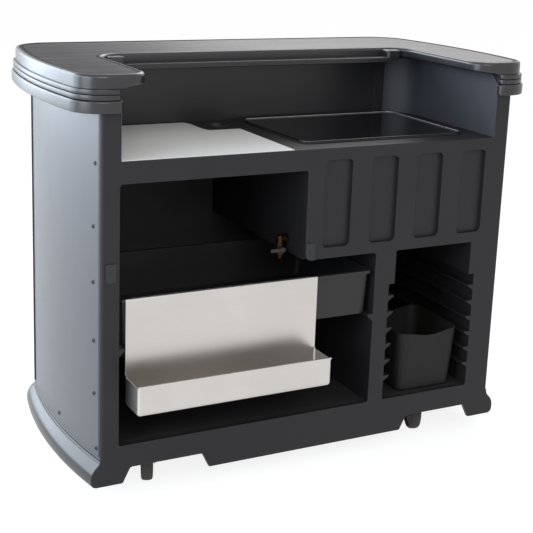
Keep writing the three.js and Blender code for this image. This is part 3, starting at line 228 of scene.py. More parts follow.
class Surface:
    """A material under construction: its coordinates, its noises and its shader."""

    def __init__(self, name):
        self.material = bpy.data.materials.new(name)
        self.material.use_nodes = True
        self.material.node_tree.nodes.clear()
        self.start = Finish(self.material.node_tree)
        self.coordinates = self.start.node("ShaderNodeTexCoord", output="Object")

    def noise(self, scale, detail=2.0, stretch=(1, 1, 1), roughness=0.5):
        """Noise in object space, so many waves to the metre, stretched along axes."""
        stretched = {"Vector": self.coordinates, "Scale": stretch}
        place = self.start.node("ShaderNodeMapping", None, stretched)
        inputs = {"Vector": place, "Scale": scale, "Detail": detail, "Roughness": roughness}
        return self.start.node("ShaderNodeTexNoise", None, inputs, "Fac")

    def finished(self, **sockets):
        """Adds the shader with its sockets, and gives the material."""
        named = {name.replace("_", " "): value for name, value in sockets.items()}
        shader = self.start.node("ShaderNodeBsdfPrincipled", None, named)
        self.start.node("ShaderNodeOutputMaterial", None, {"Surface": shader})
        return self.material


def moulded(name, colour, roughness, grain, grain_depth, specular, share=1.0):
    """Moulded plastic: a fine cast grain, faint clouding and dull scuffs."""
    surface = Surface(name)
    cloud = surface.noise(7.0, detail=4.0)
    scuff = surface.noise(46.0, detail=8.0, stretch=(1, 1, 2.5), roughness=0.72).ramp(0.56, 0.74)
    pits = surface.noise(grain)
    low, high = shaded(colour, share * 0.78), shaded(colour, share * 1.3)
    return surface.finished(
        Base_Color=(cloud * 0.75 + scuff * 0.35).between(low, high),
        Roughness=roughness - 0.05 + cloud * 0.1 + scuff * 0.1,
        Normal=(pits * 0.8 + scuff * 0.2).bump(grain_depth, 0.5),
        Specular_IOR_Level=specular,
    )


def decor(name, colour, roughness, specular):
    """Laminated decor sheet: smooth, half gloss, with a faint vertical pull."""
    surface = Surface(name)
    cloud = surface.noise(3.0, detail=3.0, stretch=(1, 1, 0.35))
    pull = surface.noise(160.0, detail=3.0, stretch=(1, 1, 0.05))
    smear = surface.noise(28.0, detail=6.0, stretch=(1, 1, 0.6), roughness=0.65).ramp(0.45, 0.75)
    return surface.finished(
        Base_Color=(cloud * 0.7 + pull * 0.3).between(shaded(colour, 0.9), shaded(colour, 1.1)),
        Roughness=roughness + cloud * 0.04 + smear * 0.03,
        Normal=(pull * 0.6 + cloud * 0.4).bump(0.00008, 0.25),
        Specular_IOR_Level=specular,
    )


def laminate(name, colour):
    """Counter laminate: grey with a fine speckle and a brushed look, with a painted sheen that grows
    towards the right.
    """
    surface = Surface(name)
    brush = surface.noise(420.0, detail=3.0, stretch=(0.04, 1, 1))
    streak = surface.noise(42.0, detail=5.0, stretch=(0.05, 1, 1), roughness=0.65).ramp(0.35, 0.68)
    speckle = surface.noise(700.0)
    cloud = surface.noise(4.0, detail=3.0)
    along = surface.start.node("ShaderNodeSeparateXYZ", None, {"Vector": surface.coordinates}, "X")
    # The coat's weight rises from left to right: painted reflection, brighter on the right of the inlay
    painted_sheen = (along + 0.7).ramp(0.1, 0.8)
    tone = brush * 0.5 + speckle * 0.25 + cloud * 0.25
    return surface.finished(
        Base_Color=tone.between(shaded(colour, 0.72), shaded(colour, 1.28)),
        Roughness=0.42 + brush * 0.12 + cloud * 0.06,
        Normal=(brush * 0.7 + speckle * 0.3).bump(0.00008, 0.4),
        Specular_IOR_Level=0.0,
        Coat_Weight=0.16 + painted_sheen * 0.5 + brush * 0.08 + streak * 0.16,
        Coat_Roughness=0.3,
    )


def board(name, colour):
    """Cutting board: off-white, finely pitted, with faint knife marks."""
    surface = Surface(name)
    cloud = surface.noise(6.0, detail=4.0)
    pits = surface.noise(1500.0)
    cuts = surface.noise(90.0, detail=4.0, stretch=(0.08, 1, 1), roughness=0.7).ramp(0.64, 0.7)
    return surface.finished(
        Base_Color=(cloud * 0.8 + cuts * 0.2).between(shaded(colour, 0.96), shaded(colour, 1.03)),
        Roughness=0.42 + cloud * 0.12 + pits * 0.06,
        Normal=(pits * 0.7 - cuts * 0.5).bump(0.00012, 0.4),
    )


def gloss(name, colour):
    """Gloss black lid: a hard clear surface with faint wipe marks."""
    surface = Surface(name)
    wipe = surface.noise(14.0, detail=6.0, stretch=(1, 0.4, 1), roughness=0.6).ramp(0.4, 0.75)
    cloud = surface.noise(3.0)
    return surface.finished(
        Base_Color=cloud.between(shaded(colour, 0.8), shaded(colour, 1.2)),
        Roughness=0.05 + wipe * 0.08,
        Specular_IOR_Level=0.7,
    )


def brushed(name, colour, roughness, stretch, scale):
    """Brushed metal: fine lines along the sheet, with soft clouding."""
    surface = Surface(name)
    lines = surface.noise(scale, detail=4.0, stretch=stretch, roughness=0.6)
    cloud = surface.noise(5.0, detail=3.0)
    return surface.finished(
        Base_Color=(lines * 0.45 + cloud * 0.55).between(shaded(colour, 0.82), shaded(colour, 1.15)),
        Metallic=1.0,
        Roughness=roughness - 0.07 + lines * 0.08 + cloud * 0.1,
        Normal=lines.bump(0.00004, 0.25),
    )


# Each finish: its maker, its colour and the maker's other values.
# Moulded: roughness, grains to the metre, grain depth in metres, specular level, share of the colour.
# Decor: roughness and specular level. Brushed: roughness, stretch and lines to the metre.
FINISHES = {
    "moulding": (moulded, "moulding", 0.46, 900.0, 0.0003, 0.3),
    "moulding_sheen": (moulded, "moulding", 0.3, 900.0, 0.0001, 0.45),
    "counter_sheen": (moulded, "moulding", 0.29, 900.0, 0.0001, 0.6),
    "rim_dull": (moulded, "moulding", 0.6, 900.0, 0.0003, 0.12),
    # A darker copy of the moulding for the compartments' inner walls: painted shade
    "moulding_hollow": (moulded, "moulding", 0.6, 900.0, 0.0003, 0.2, 0.75),
    "liner": (moulded, "liner", 0.55, 700.0, 0.0003, 0.4),
    "bin_black": (moulded, "bin_black", 0.42, 1200.0, 0.0002, 0.4),
    # The drain lever's sleeve is darkened nearly to black: painted shade for the shadow it sits in
    "lever_sleeve": (moulded, "lever", 0.45, 1500.0, 0.0001, 0.5),
    "waste_grey": (moulded, "waste", 0.6, 800.0, 0.0003, 0.22),
    "wheel_rubber": (moulded, "rubber", 0.75, 500.0, 0.0004, 0.3),
    "decor_sheet": (decor, "decor_sheet", 0.32, 0.8),
    "decor_dull": (decor, "decor_sheet", 0.52, 0.45),
    "laminate": (laminate, "laminate"),
    "board": (board, "board"),
    "lid_gloss": (gloss, "lid_gloss"),
    # The lid's crest is pale grey under the gloss: a painted highlight along the rim
    "lid_crest": (gloss, "lid_crest"),
    "stainless": (brushed, "stainless", 0.3, (0.03, 1, 1), 900.0),
    # The drain's brass is darkened nearly to black: painted shade for the shadow the fitting sits in
    "brass_fitting": (brushed, "brass", 0.36, (1, 1, 1), 300.0),
    "zinc_steel": (brushed, "zinc", 0.45, (1, 1, 1), 260.0),
    "plate_grey": (brushed, "plate", 0.5, (1, 1, 0.2), 500.0),
}

# Nodes whose finish isn't the one named by their slot; the compartments' inner walls take a darker
# moulding as painted shade
FINISH_OF_NODE = {
    "glass_ledge": "moulding_sheen",
    "splash_back": "moulding_sheen",
    "ice_well_side": "moulding_hollow",
    "divider": "moulding_hollow",
    "rack_wall": "moulding_hollow",
}


def finish_of(finish):
    """A finish by its name, made on its first use."""
    name = finish + "_finish"
    made = bpy.data.materials.get(name)
    if not made:
        maker, tone, *values = FINISHES[finish]
        made = maker(name, getattr(bpy.context.scene.bar_colours, tone), *values)
    return made


# Building by mesh operators


def verts_in(geometry):
    """The vertices among some geometry."""
    return [item for item in geometry if isinstance(item, bmesh.types.BMVert)]


def edges_in(geometry):
    """The edges among some geometry."""
    return [item for item in geometry if isinstance(item, bmesh.types.BMEdge)]


def corners_of(edges):
    """The vertices of some edges, once each."""
    return list(dict.fromkeys(vert for edge in edges for vert in edge.verts))


def everything(bm):
    """All the geometry of a mesh."""
    return bm.verts[:] + bm.edges[:] + bm.faces[:]


def faces_at(bm, z):
    """The faces that lie flat at a height in millimetres."""
    return [face for face in bm.faces if all(abs(vert.co.z - z * MM) < MERGE for vert in face.verts)]


def rectangle(x0, y0, x1, y1):
    """The four corners of a rectangle."""
    return [(x0, y0), (x1, y0), (x1, y1), (x0, y1)]


def loop(bm, points):
    """A closed line of edges through a few points."""
    verts = [bm.verts.new(point) for point in points]
    return [bm.edges.new(pair) for pair in zip(verts, verts[1:] + verts[:1])]


def folds(edges, angle):
    """The edges at which two faces turn by more than an angle in radians."""
    return [edge for edge in edges if edge.calc_face_angle(0) > angle]


def drawn_since(bm, before):
    """The edges that weren't there before."""
    return [edge for edge in bm.edges if edge not in before]


def run(bm, geometry, step):
    """Carries edges, or a vertex, straight by a step in millimetres, and gives the far end of it."""
    edges = edges_in(geometry)
    if edges:
        made = bmesh.ops.extrude_edge_only(bm, edges=edges)["geom"]
    else:
        made = bmesh.ops.extrude_vert_indiv(bm, verts=geometry)["verts"]
    verts = verts_in(made)
    bmesh.ops.translate(bm, verts=verts, vec=Vector(step) * MM)
    return [edge for edge in edges_in(made) if set(edge.verts) <= set(verts)] if edges else verts


def swing(bm, geometry, centre, angle, steps, axis=(0, 0, 1)):
    """Carries geometry round an axis, and gives the far end of it."""
    edges = edges_in(geometry)
    whole = (corners_of(edges) if edges else verts_in(geometry)) + edges
    made = bmesh.ops.spin(
        bm, geom=whole, cent=centre, axis=axis, angle=angle, steps=steps, use_duplicate=False,
    )
    return edges_in(made["geom_last"]) if edges else verts_in(made["geom_last"])


def close(bm, edges):
    """Fills a loop of edges with one face."""
    return bmesh.ops.contextual_create(bm, geom=edges)["faces"]


def turn_round(bm, edges, centre, axis, steps):
    """Turns a closed section once round an axis."""
    bmesh.ops.spin(
        bm, geom=corners_of(edges) + edges, cent=centre, axis=axis,
        angle=2 * math.pi, steps=steps, use_merge=True, use_duplicate=False,
    )


def rear_section(bm, section):
    """Draws a section of reach and height at the middle of the customer side."""
    return loop(bm, [at(0, BODY_DEPTH + out, z) for out, z in section])


def sweep_end(bm, tip, stop, steps=REAR_STEPS):
    """Carries geometry from the middle of the customer side round one end, to an angle of its bow."""
    tip = run(bm, tip, (REAR_X, 0, 0))
    tip = swing(bm, tip, at(REAR_X, REAR_DEPTH, 0), REAR_ANGLE - QUARTER, steps)
    return swing(bm, tip, at(BOW_X, BOW_DEPTH, 0), stop - REAR_ANGLE, BOW_STEPS)


def sweep_corner(bm, tip, steps=REAR_STEPS):
    """Carries geometry on round the counter's front corner."""
    return swing(bm, tip, at(CORNER_X, CORNER_DEPTH, 0), -QUARTER - CORNER_ANGLE, steps)


def mirror_halves(bm, half=None):
    """Adds the mirror image of a half, or of the whole mesh, across the bar's middle."""
    half = half or everything(bm)
    bmesh.ops.mirror(bm, geom=half, matrix=Matrix.Identity(4), merge_dist=MERGE, axis="X")


def cut_away(bm, point, normal):
    """Cuts off what lies beyond a plane and closes the cut."""
    made = bmesh.ops.bisect_plane(
        bm, geom=everything(bm), dist=ON_PLANE, plane_co=point, plane_no=normal, clear_outer=True,
    )
    edges = edges_in(made["geom_cut"])
    bmesh.ops.triangle_fill(bm, edges=edges, use_beauty=True, use_dissolve=False)


def face_outwards(bm):
    """Turns every face outwards."""
    bmesh.ops.recalc_face_normals(bm, faces=bm.faces)


def round_edges(bm, geometry, radius, segments=4, affect="EDGES"):
    """Rounds edges, or the corners of a flat face, by a radius in millimetres."""
    return bmesh.ops.bevel(
        bm, geom=geometry, offset=radius * MM, offset_type="OFFSET", affect=affect,
        segments=segments, profile=0.5, material=-1, clamp_overlap=affect == "EDGES",
    )


def rounded_plate(bm, corners, radius, segments=8):
    """One flat face with its corners rounded."""
    before = set(bm.faces)
    face = bm.faces.new([bm.verts.new(corner) for corner in corners])
    round_edges(bm, list(face.verts), radius, segments, "VERTICES")
    return [made for made in bm.faces if made not in before][0]


def raise_face(bm, face, step):
    """Extrudes one face by a step in millimetres, and gives the far face."""
    inside = any(len(edge.link_faces) > 1 for edge in face.edges)
    made = bmesh.ops.extrude_face_region(bm, geom=[face])["geom"]
    bmesh.ops.translate(bm, verts=verts_in(made), vec=Vector(step) * MM)
    if inside:
        bmesh.ops.delete(bm, geom=[face], context="FACES_ONLY")
    return [item for item in made if isinstance(item, bmesh.types.BMFace)][0]


def smooth_line(points, steps=3):
    """A smooth line through points, with so many steps between each two."""
    ends = [points[0]] + list(points) + [points[-1]]
    line = []
    for before, start, stop, after in zip(ends, ends[1:], ends[2:], ends[3:]):
        a, b, c, d = (Vector(point) for point in (before, start, stop, after))
        for i in range(steps):
            t = i / steps
            line.append(
                b + (c - a) * t / 2
                + (a * 2 - b * 5 + c * 4 - d) * t ** 2 / 2
                + (b * 3 - a - c * 3 + d) * t ** 3 / 2
            )
    line.append(Vector(points[-1]))
    return [tuple(point) for point in line]


def add_piece(name, bm, body, slot, *nodes, sharp=30.0, finish=None):
    """Makes a finished piece of a mesh: its normals, finish, body and the nodes it stands for."""
    bmesh.ops.remove_doubles(bm, verts=bm.verts, dist=MERGE)
    face_outwards(bm)
    mesh = bpy.data.meshes.new(name)
    bm.to_mesh(mesh)
    bm.free()
    mesh.shade_smooth()
    mesh.set_sharp_from_angle(angle=math.radians(sharp))
    mesh.materials.append(finish_of(finish or slot))
    piece = bpy.data.objects.new(name, mesh)
    bpy.context.scene.collection.objects.link(piece)
    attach(piece, body)
    if nodes:
        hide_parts(*nodes)
    even_shading(piece)
    return piece


def even_shading(piece):
    """Keeps wide faces flat beside their rounded edges."""
    for old in [item for item in piece.modifiers if item.type == "WEIGHTED_NORMAL"]:
        piece.modifiers.remove(old)
    even = piece.modifiers.new("Even shading", "WEIGHTED_NORMAL")
    even.keep_sharp = True


def soft_edges(piece, width, segments, degrees):
    """A live rounding of the edges sharper than an angle, by a width in millimetres."""
    soft = piece.modifiers.new("Soft edges", "BEVEL")
    soft.width = width * MM
    soft.segments = segments
    soft.limit_method = "ANGLE"
    soft.angle_limit = math.radians(degrees)
    return soft


def add_wall(piece, thickness, offset, edge):
    """Gives a shell its wall, in metres, and rounds the wall's edges."""
    wall = piece.modifiers.new("Wall", "SOLIDIFY")
    wall.thickness = thickness
    wall.offset = offset
    soft_edges(piece, edge, segments=2, degrees=60)
    even_shading(piece)


def merged_copy(node):
    """A copy of a CAD node's mesh, with its loose triangles joined."""
    bm = bmesh.new()
    mesh = frame["nodes"][node].data.copy()
    stored = mesh.attributes.get("custom_normal")
    if stored:
        mesh.attributes.remove(stored)
    bm.from_mesh(mesh)
    bpy.data.meshes.remove(mesh)
    bmesh.ops.remove_doubles(bm, verts=bm.verts, dist=MERGE)
    return bm


def both_sides(points):
    """A right half outline, followed by its mirror image."""
    return list(points) + [(-point[0], *point[1:]) for point in reversed(points)]


# Front moulding


def add_outline(curve, corners):
    """A closed outline through corners of x, z and radius, in millimetres."""
    places = []
    count = len(corners)
    for i, (x, z, radius) in enumerate(corners):
        corner = Vector((x, z, 0))
        back = (Vector((*corners[i - 1][:2], 0)) - corner).normalized()
        ahead = (Vector((*corners[(i + 1) % count][:2], 0)) - corner).normalized()
        if not radius:
            places.append((corner, corner, corner))
            continue
        turn = math.pi - back.angle(ahead)
        reach = radius * math.tan(turn / 2)
        handle = radius * math.tan(turn / 4) * 4 / 3
        first, last = corner + back * reach, corner + ahead * reach
        places.append((first, first, first - back * handle))
        places.append((last - ahead * handle, last, last))
    spline = curve.splines.new("BEZIER")
    spline.bezier_points.add(len(places) - 1)
    spline.use_cyclic_u = True
    spline.resolution_u = 6
    for point, (left, middle, right) in zip(spline.bezier_points, places):
        point.handle_left_type = point.handle_right_type = "FREE"
        point.co = middle * MM
        point.handle_left = left * MM
        point.handle_right = right * MM


# Swell of the base skirt from its top down: shares of its reach and of its height
SKIRT_GROOVE = [(0.05, 0.02), (0.07, 0.08), (0.03, 0.11), (0.09, 0.14)]
SKIRT_SWELL = [(0.21, 0.22), (0.6, 0.36), (0.89, 0.5), (1, 0.65), (0.97, 0.86), (0.78, 0.96), (0.5, 1)]


def skirt_line(grooved=True):
    """The base skirt's outer line, as reach past the end face and height."""
    reach = bpy.context.scene.bar_sizes.skirt_reach / MM
    height = SKIRT_TOP - FOOT
    shares = [(0, 0)] + SKIRT_GROOVE * grooved + SKIRT_SWELL
    return smooth_line([(reach * out, SKIRT_TOP - height * down) for out, down in shares])


def face_outline():
    """The front's silhouette: feet, wheel arches, posts and the deck's edge."""
    foot_wide, arch_wide, arch_high, slope = 90, 258, 44, 22
    arch = FOOT + arch_high
    foot = FACE_HALF + bpy.context.scene.bar_sizes.skirt_reach / MM - foot_wide
    swell = [(FACE_HALF + out, z, 0) for out, z in reversed(skirt_line(grooved=False))]
    return both_sides([
        (foot - arch_wide, FOOT, 5),
        (foot - arch_wide + slope, arch, 10),
        (foot - slope, arch, 10),
        (foot, FOOT, 8),
        *swell[:-1],
        (FACE_HALF, SKIRT_TOP, 3),
        (NOSE_X + FACE_LAP, SKIRT_TOP, 0),
        (NOSE_X + FACE_LAP, SLAB_BOTTOM, 0),
        (OPENING_HALF, SLAB_BOTTOM, 0),
        (OPENING_HALF, DECK_TOP, 4),
    ])


def storage_outline():
    """The storage opening, with the tray ledges and the round corner of the ribbed panel."""
    top = Span("storage_tray").z0 - HAIR
    ledge, edge, left = 18, 6, -OPENING_HALF
    return [
        (left, FLOOR_TOP, 7),
        (DIVIDER_LEFT, FLOOR_TOP, 7),
        (DIVIDER_LEFT, top - edge - ledge, 0),
        (DIVIDER_LEFT - ledge, top - edge, 0),
        (DIVIDER_LEFT - ledge, top, 0),
        (DIVIDER_LEFT, top, 0),
        (DIVIDER_LEFT, WELL_BOTTOM, 10),
        (WELL_LEFT, WELL_BOTTOM, 18),
        (WELL_LEFT, APRON_BOTTOM, 8),
        (left, APRON_BOTTOM, 8),
        (left, top, 0),
        (left + ledge, top, 0),
        (left + ledge, top - edge, 0),
        (left, top - edge - ledge, 0),
    ]


def rack_outline():
    """The rack bay, with its runners on both sides and the grooves behind them."""
    runners, first, pitch = 6, 76, 50
    groove, edge, root = 19, 5, 18
    groove_top = FLOOR_TOP + 360
    half = (RACK_RIGHT - RACK_LEFT) / 2
    middle = (RACK_RIGHT + RACK_LEFT) / 2
    side = [(half + groove, FLOOR_TOP, 5)]
    for i in range(runners):
        top = FLOOR_TOP + first + pitch * i
        side += [
            (half + groove, top - root, 0),
            (half, top - edge, 0),
            (half, top, 0),
            (half + groove, top, 0),
        ]
    side += [(half + groove, groove_top, 0), (half, groove_top, 0), (half, WELL_BOTTOM, 6)]
    return [(middle + x, z, radius) for x, z, radius in both_sides(side)]


RECESSES = 4


def recess_outline(i):
    """One of the recesses in the ribbed panel."""
    half, corner, pitch, offset, below, above = 44, 14, 153, 14, 32, 35
    middle = (WELL_LEFT + OPENING_HALF) / 2 + offset + pitch * (i - (RECESSES - 1) / 2)
    low, high = WELL_BOTTOM + below, DECK_TOP - above
    return [(middle + x, z, corner) for x, z in rectangle(-half, low, half, high)]


# Walls that the front face covers, and the side of the bar for the posts
FACED_NODES = {
    "front_rail": 0, "divider": 0, "rack_wall": 0, "ribbed_front": 0, "deck": 0,
    "left_post": -1, "right_post": 1,
}


class BAR_OT_front_face(bpy.types.Operator):
    """Makes the seamless front of the moulding and sets the CAD walls behind it"""

    bl_idname = "portable_bar.front_face"
    bl_label = "Front face"

    def execute(self, context):
        sizes = context.scene.bar_sizes
        edge, skin = sizes.face_edge, sizes.face_skin
        tuck = 4
        behind = Vector((0, FRONT_Y + skin, 0))
        upright = Matrix.Rotation(QUARTER, 4, "X")
        upright.translation = behind + Vector((0, edge, 0))
        bm = self.filled_outlines(context, edge, skin)
        bmesh.ops.transform(bm, matrix=upright, verts=bm.verts)
        cut_away(bm, behind, (0, 1, 0))
        add_piece("front_face", bm, BAR, "moulding", sharp=40.0)
        for node, side in FACED_NODES.items():
            bm = merged_copy(node)
            cut_away(bm, behind, (0, -1, 0))
            if node == "front_rail":
                for end in SIDES.values():
                    cut_away(bm, at(end * (FACE_HALF - tuck), 0, 0), (end, 0, 0))
            if side:
                self.add_nose(bm, side)
            add_piece(node + "_moulding", bm, BAR, "moulding", node, finish=FINISH_OF_NODE.get(node))
        return {"FINISHED"}

    def filled_outlines(self, context, edge, skin):
        """A lying sheet with rounded edges, between the silhouette and the openings."""
        curve = bpy.data.curves.new("front_face_outline", "CURVE")
        curve.dimensions = "2D"
        curve.fill_mode = "BOTH"
        outlines = [face_outline(), storage_outline(), rack_outline()]
        for outline in outlines + [recess_outline(i) for i in range(RECESSES)]:
            add_outline(curve, outline)
        curve.extrude = skin
        curve.bevel_depth = edge
        curve.bevel_resolution = 3
        curve.offset = -edge
        flat = bpy.data.objects.new("front_face_outline", curve)
        context.scene.collection.objects.link(flat)
        context.view_layer.update()
        drawn = flat.evaluated_get(context.evaluated_depsgraph_get())
        mesh = bpy.data.meshes.new_from_object(drawn)
        bm = bmesh.new()
        bm.from_mesh(mesh)
        bpy.data.meshes.remove(mesh)
        bpy.data.objects.remove(flat)
        bpy.data.curves.remove(curve)
        bmesh.ops.remove_doubles(bm, verts=bm.verts, dist=MERGE)
        return bm

    def add_nose(self, bm, side):
        """The rounded outer corner of a post."""
        lap, proud, front, back = 12, 0.2, 0.15, 14
        inner, outer = NOSE_X - lap, NOSE_X + NOSE_RADIUS + proud
        plan = rectangle(inner, front, outer, back)
        corners = [bm.verts.new(at(side * x, depth, SKIRT_TOP)) for x, depth in plan]
        bm.faces.new(corners)
        round_edges(bm, [corners[1]], NOSE_RADIUS, 8, "VERTICES")
        raise_face(bm, corners[0].link_faces[0], (0, 0, SLAB_BOTTOM - SKIRT_TOP))


# Base and decor sheets


class BAR_OT_base_skirt(bpy.types.Operator):
    """Sweeps the swelling base skirt round the ends and the customer side"""

    bl_idname = "portable_bar.base_skirt"
    bl_label = "Base skirt"

    def execute(self, context):
        wall = context.scene.bar_sizes.skirt_wall / MM
        past_front, front = -8, 2.6
        outer = skirt_line()
        section = outer + [(out - wall, z) for out, z in reversed(outer)]
        bm = bmesh.new()
        close(bm, sweep_end(bm, rear_section(bm, section), end_angle(past_front)))
        cut_away(bm, at(0, front, 0), (0, -1, 0))
        mirror_halves(bm)
        piece = "base_skirt_moulding"
        add_piece(piece, bm, BAR, "moulding", "base_skirt", sharp=40.0, finish="moulding_sheen")
        return {"FINISHED"}


class BAR_OT_decor_sheets(bpy.types.Operator):
    """Bends the decor sheets round the ends and the customer side"""

    bl_idname = "portable_bar.decor_sheets"
    bl_label = "Decor sheets"

    def execute(self, context):
        whole = Span("customer_sheet")
        thick = context.scene.bar_sizes.decor_sheet / MM
        front, seam, edge = 14.4, 3, 0.6
        section = rectangle(-thick, whole.z0, 0, whole.z1)
        centre = at(BOW_X, BOW_DEPTH, 0)
        turn = Matrix.Rotation(REAR_ANGLE, 3, "Z")
        for name, side in SIDES.items():
            name += "_end_sheet"
            bm = bmesh.new()
            points = [Vector(((BOW_RADIUS + out) * MM, 0, z * MM)) for out, z in section]
            edges = loop(bm, [centre + turn @ point for point in points])
            close(bm, edges)
            close(bm, swing(bm, edges, centre, end_angle(front) - REAR_ANGLE, steps=40))
            bmesh.ops.scale(bm, vec=(side, 1, 1), verts=bm.verts)
            face_outwards(bm)
            round_edges(bm, folds(bm.edges, angle=1), edge, segments=2)
            add_piece(name + "_laminate", bm, BAR, "decor_sheet", name)
        bm = bmesh.new()
        edges = run(bm, rear_section(bm, section), (REAR_X, 0, 0))
        stop = REAR_ANGLE + seam / REAR_RADIUS
        close(bm, swing(bm, edges, at(REAR_X, REAR_DEPTH, 0), stop - QUARTER, steps=24))
        mirror_halves(bm)
        add_piece("customer_sheet_laminate", bm, BAR, "decor_sheet", "customer_sheet")
        self.add_seam_strips(whole, turn)
        return {"FINISHED"}

    def add_seam_strips(self, whole, turn):
        """The black strips over the seams at the rear corners."""
        under, proud, half, corner = -2, 4, 6, 2.5
        seam = at(BOW_X, BOW_DEPTH, whole.z0) + turn @ Vector((BOW_RADIUS * MM, 0, 0))
        plan = rectangle(under, -half, proud, half)
        corners = [seam + turn @ Vector((out * MM, along * MM, 0)) for out, along in plan]
        bm = bmesh.new()
        for side in SIDES.values():
            face = rounded_plate(bm, [(side * point.x, *point.yz) for point in corners], corner, 4)
            raise_face(bm, face, (0, 0, whole.high))
        add_piece("end_seam_strips", bm, BAR, "moulding")


# Counter


class Counter:
    """Plan of the counter: a band round the bar with a wing at each end."""

    def __init__(self, edge, inset, nose):
        sizes = bpy.context.scene.bar_sizes
        self.edge = edge
        self.inner = sizes.wing_inner / MM + inset
        self.rear = sizes.wing_rear / MM + inset
        self.corner = sizes.wing_corner / MM + inset
        self.nose = nose

    def draw(self, bm, z):
        """Draws the closed outline at a height, and gives its edges."""
        before = set(bm.edges)
        front = CORNER_DEPTH - CORNER_RADIUS - self.edge
        nose, corner = self.inner + self.nose, self.inner - self.corner
        tip = [bm.verts.new(at(0, BODY_DEPTH + self.edge, z))]
        tip = sweep_end(bm, tip, CORNER_ANGLE, CORNER_STEPS)
        tip = sweep_corner(bm, tip, CORNER_STEPS)
        tip = run(bm, tip, (nose - CORNER_X, 0, 0))
        tip = swing(bm, tip, at(nose, front + self.nose, 0), -QUARTER, steps=8)
        tip = run(bm, tip, (0, self.rear - self.corner - front - self.nose, 0))
        tip = swing(bm, tip, at(corner, self.rear - self.corner, 0), QUARTER, steps=14)
        run(bm, tip, (-corner, 0, 0))
        half = drawn_since(bm, before)
        mirror_halves(bm, corners_of(half) + half)
        return drawn_since(bm, before)

    def undercut(self, x, depth):
        """How far a point lies on a wing's inner edge: 1 along it, fading to 0 round its corner."""
        slack = 1
        if x > self.inner + self.nose + slack or depth > self.rear + slack:
            return 0.0
        return max(0.0, min(1.0, (x - self.inner + self.corner) / self.corner))


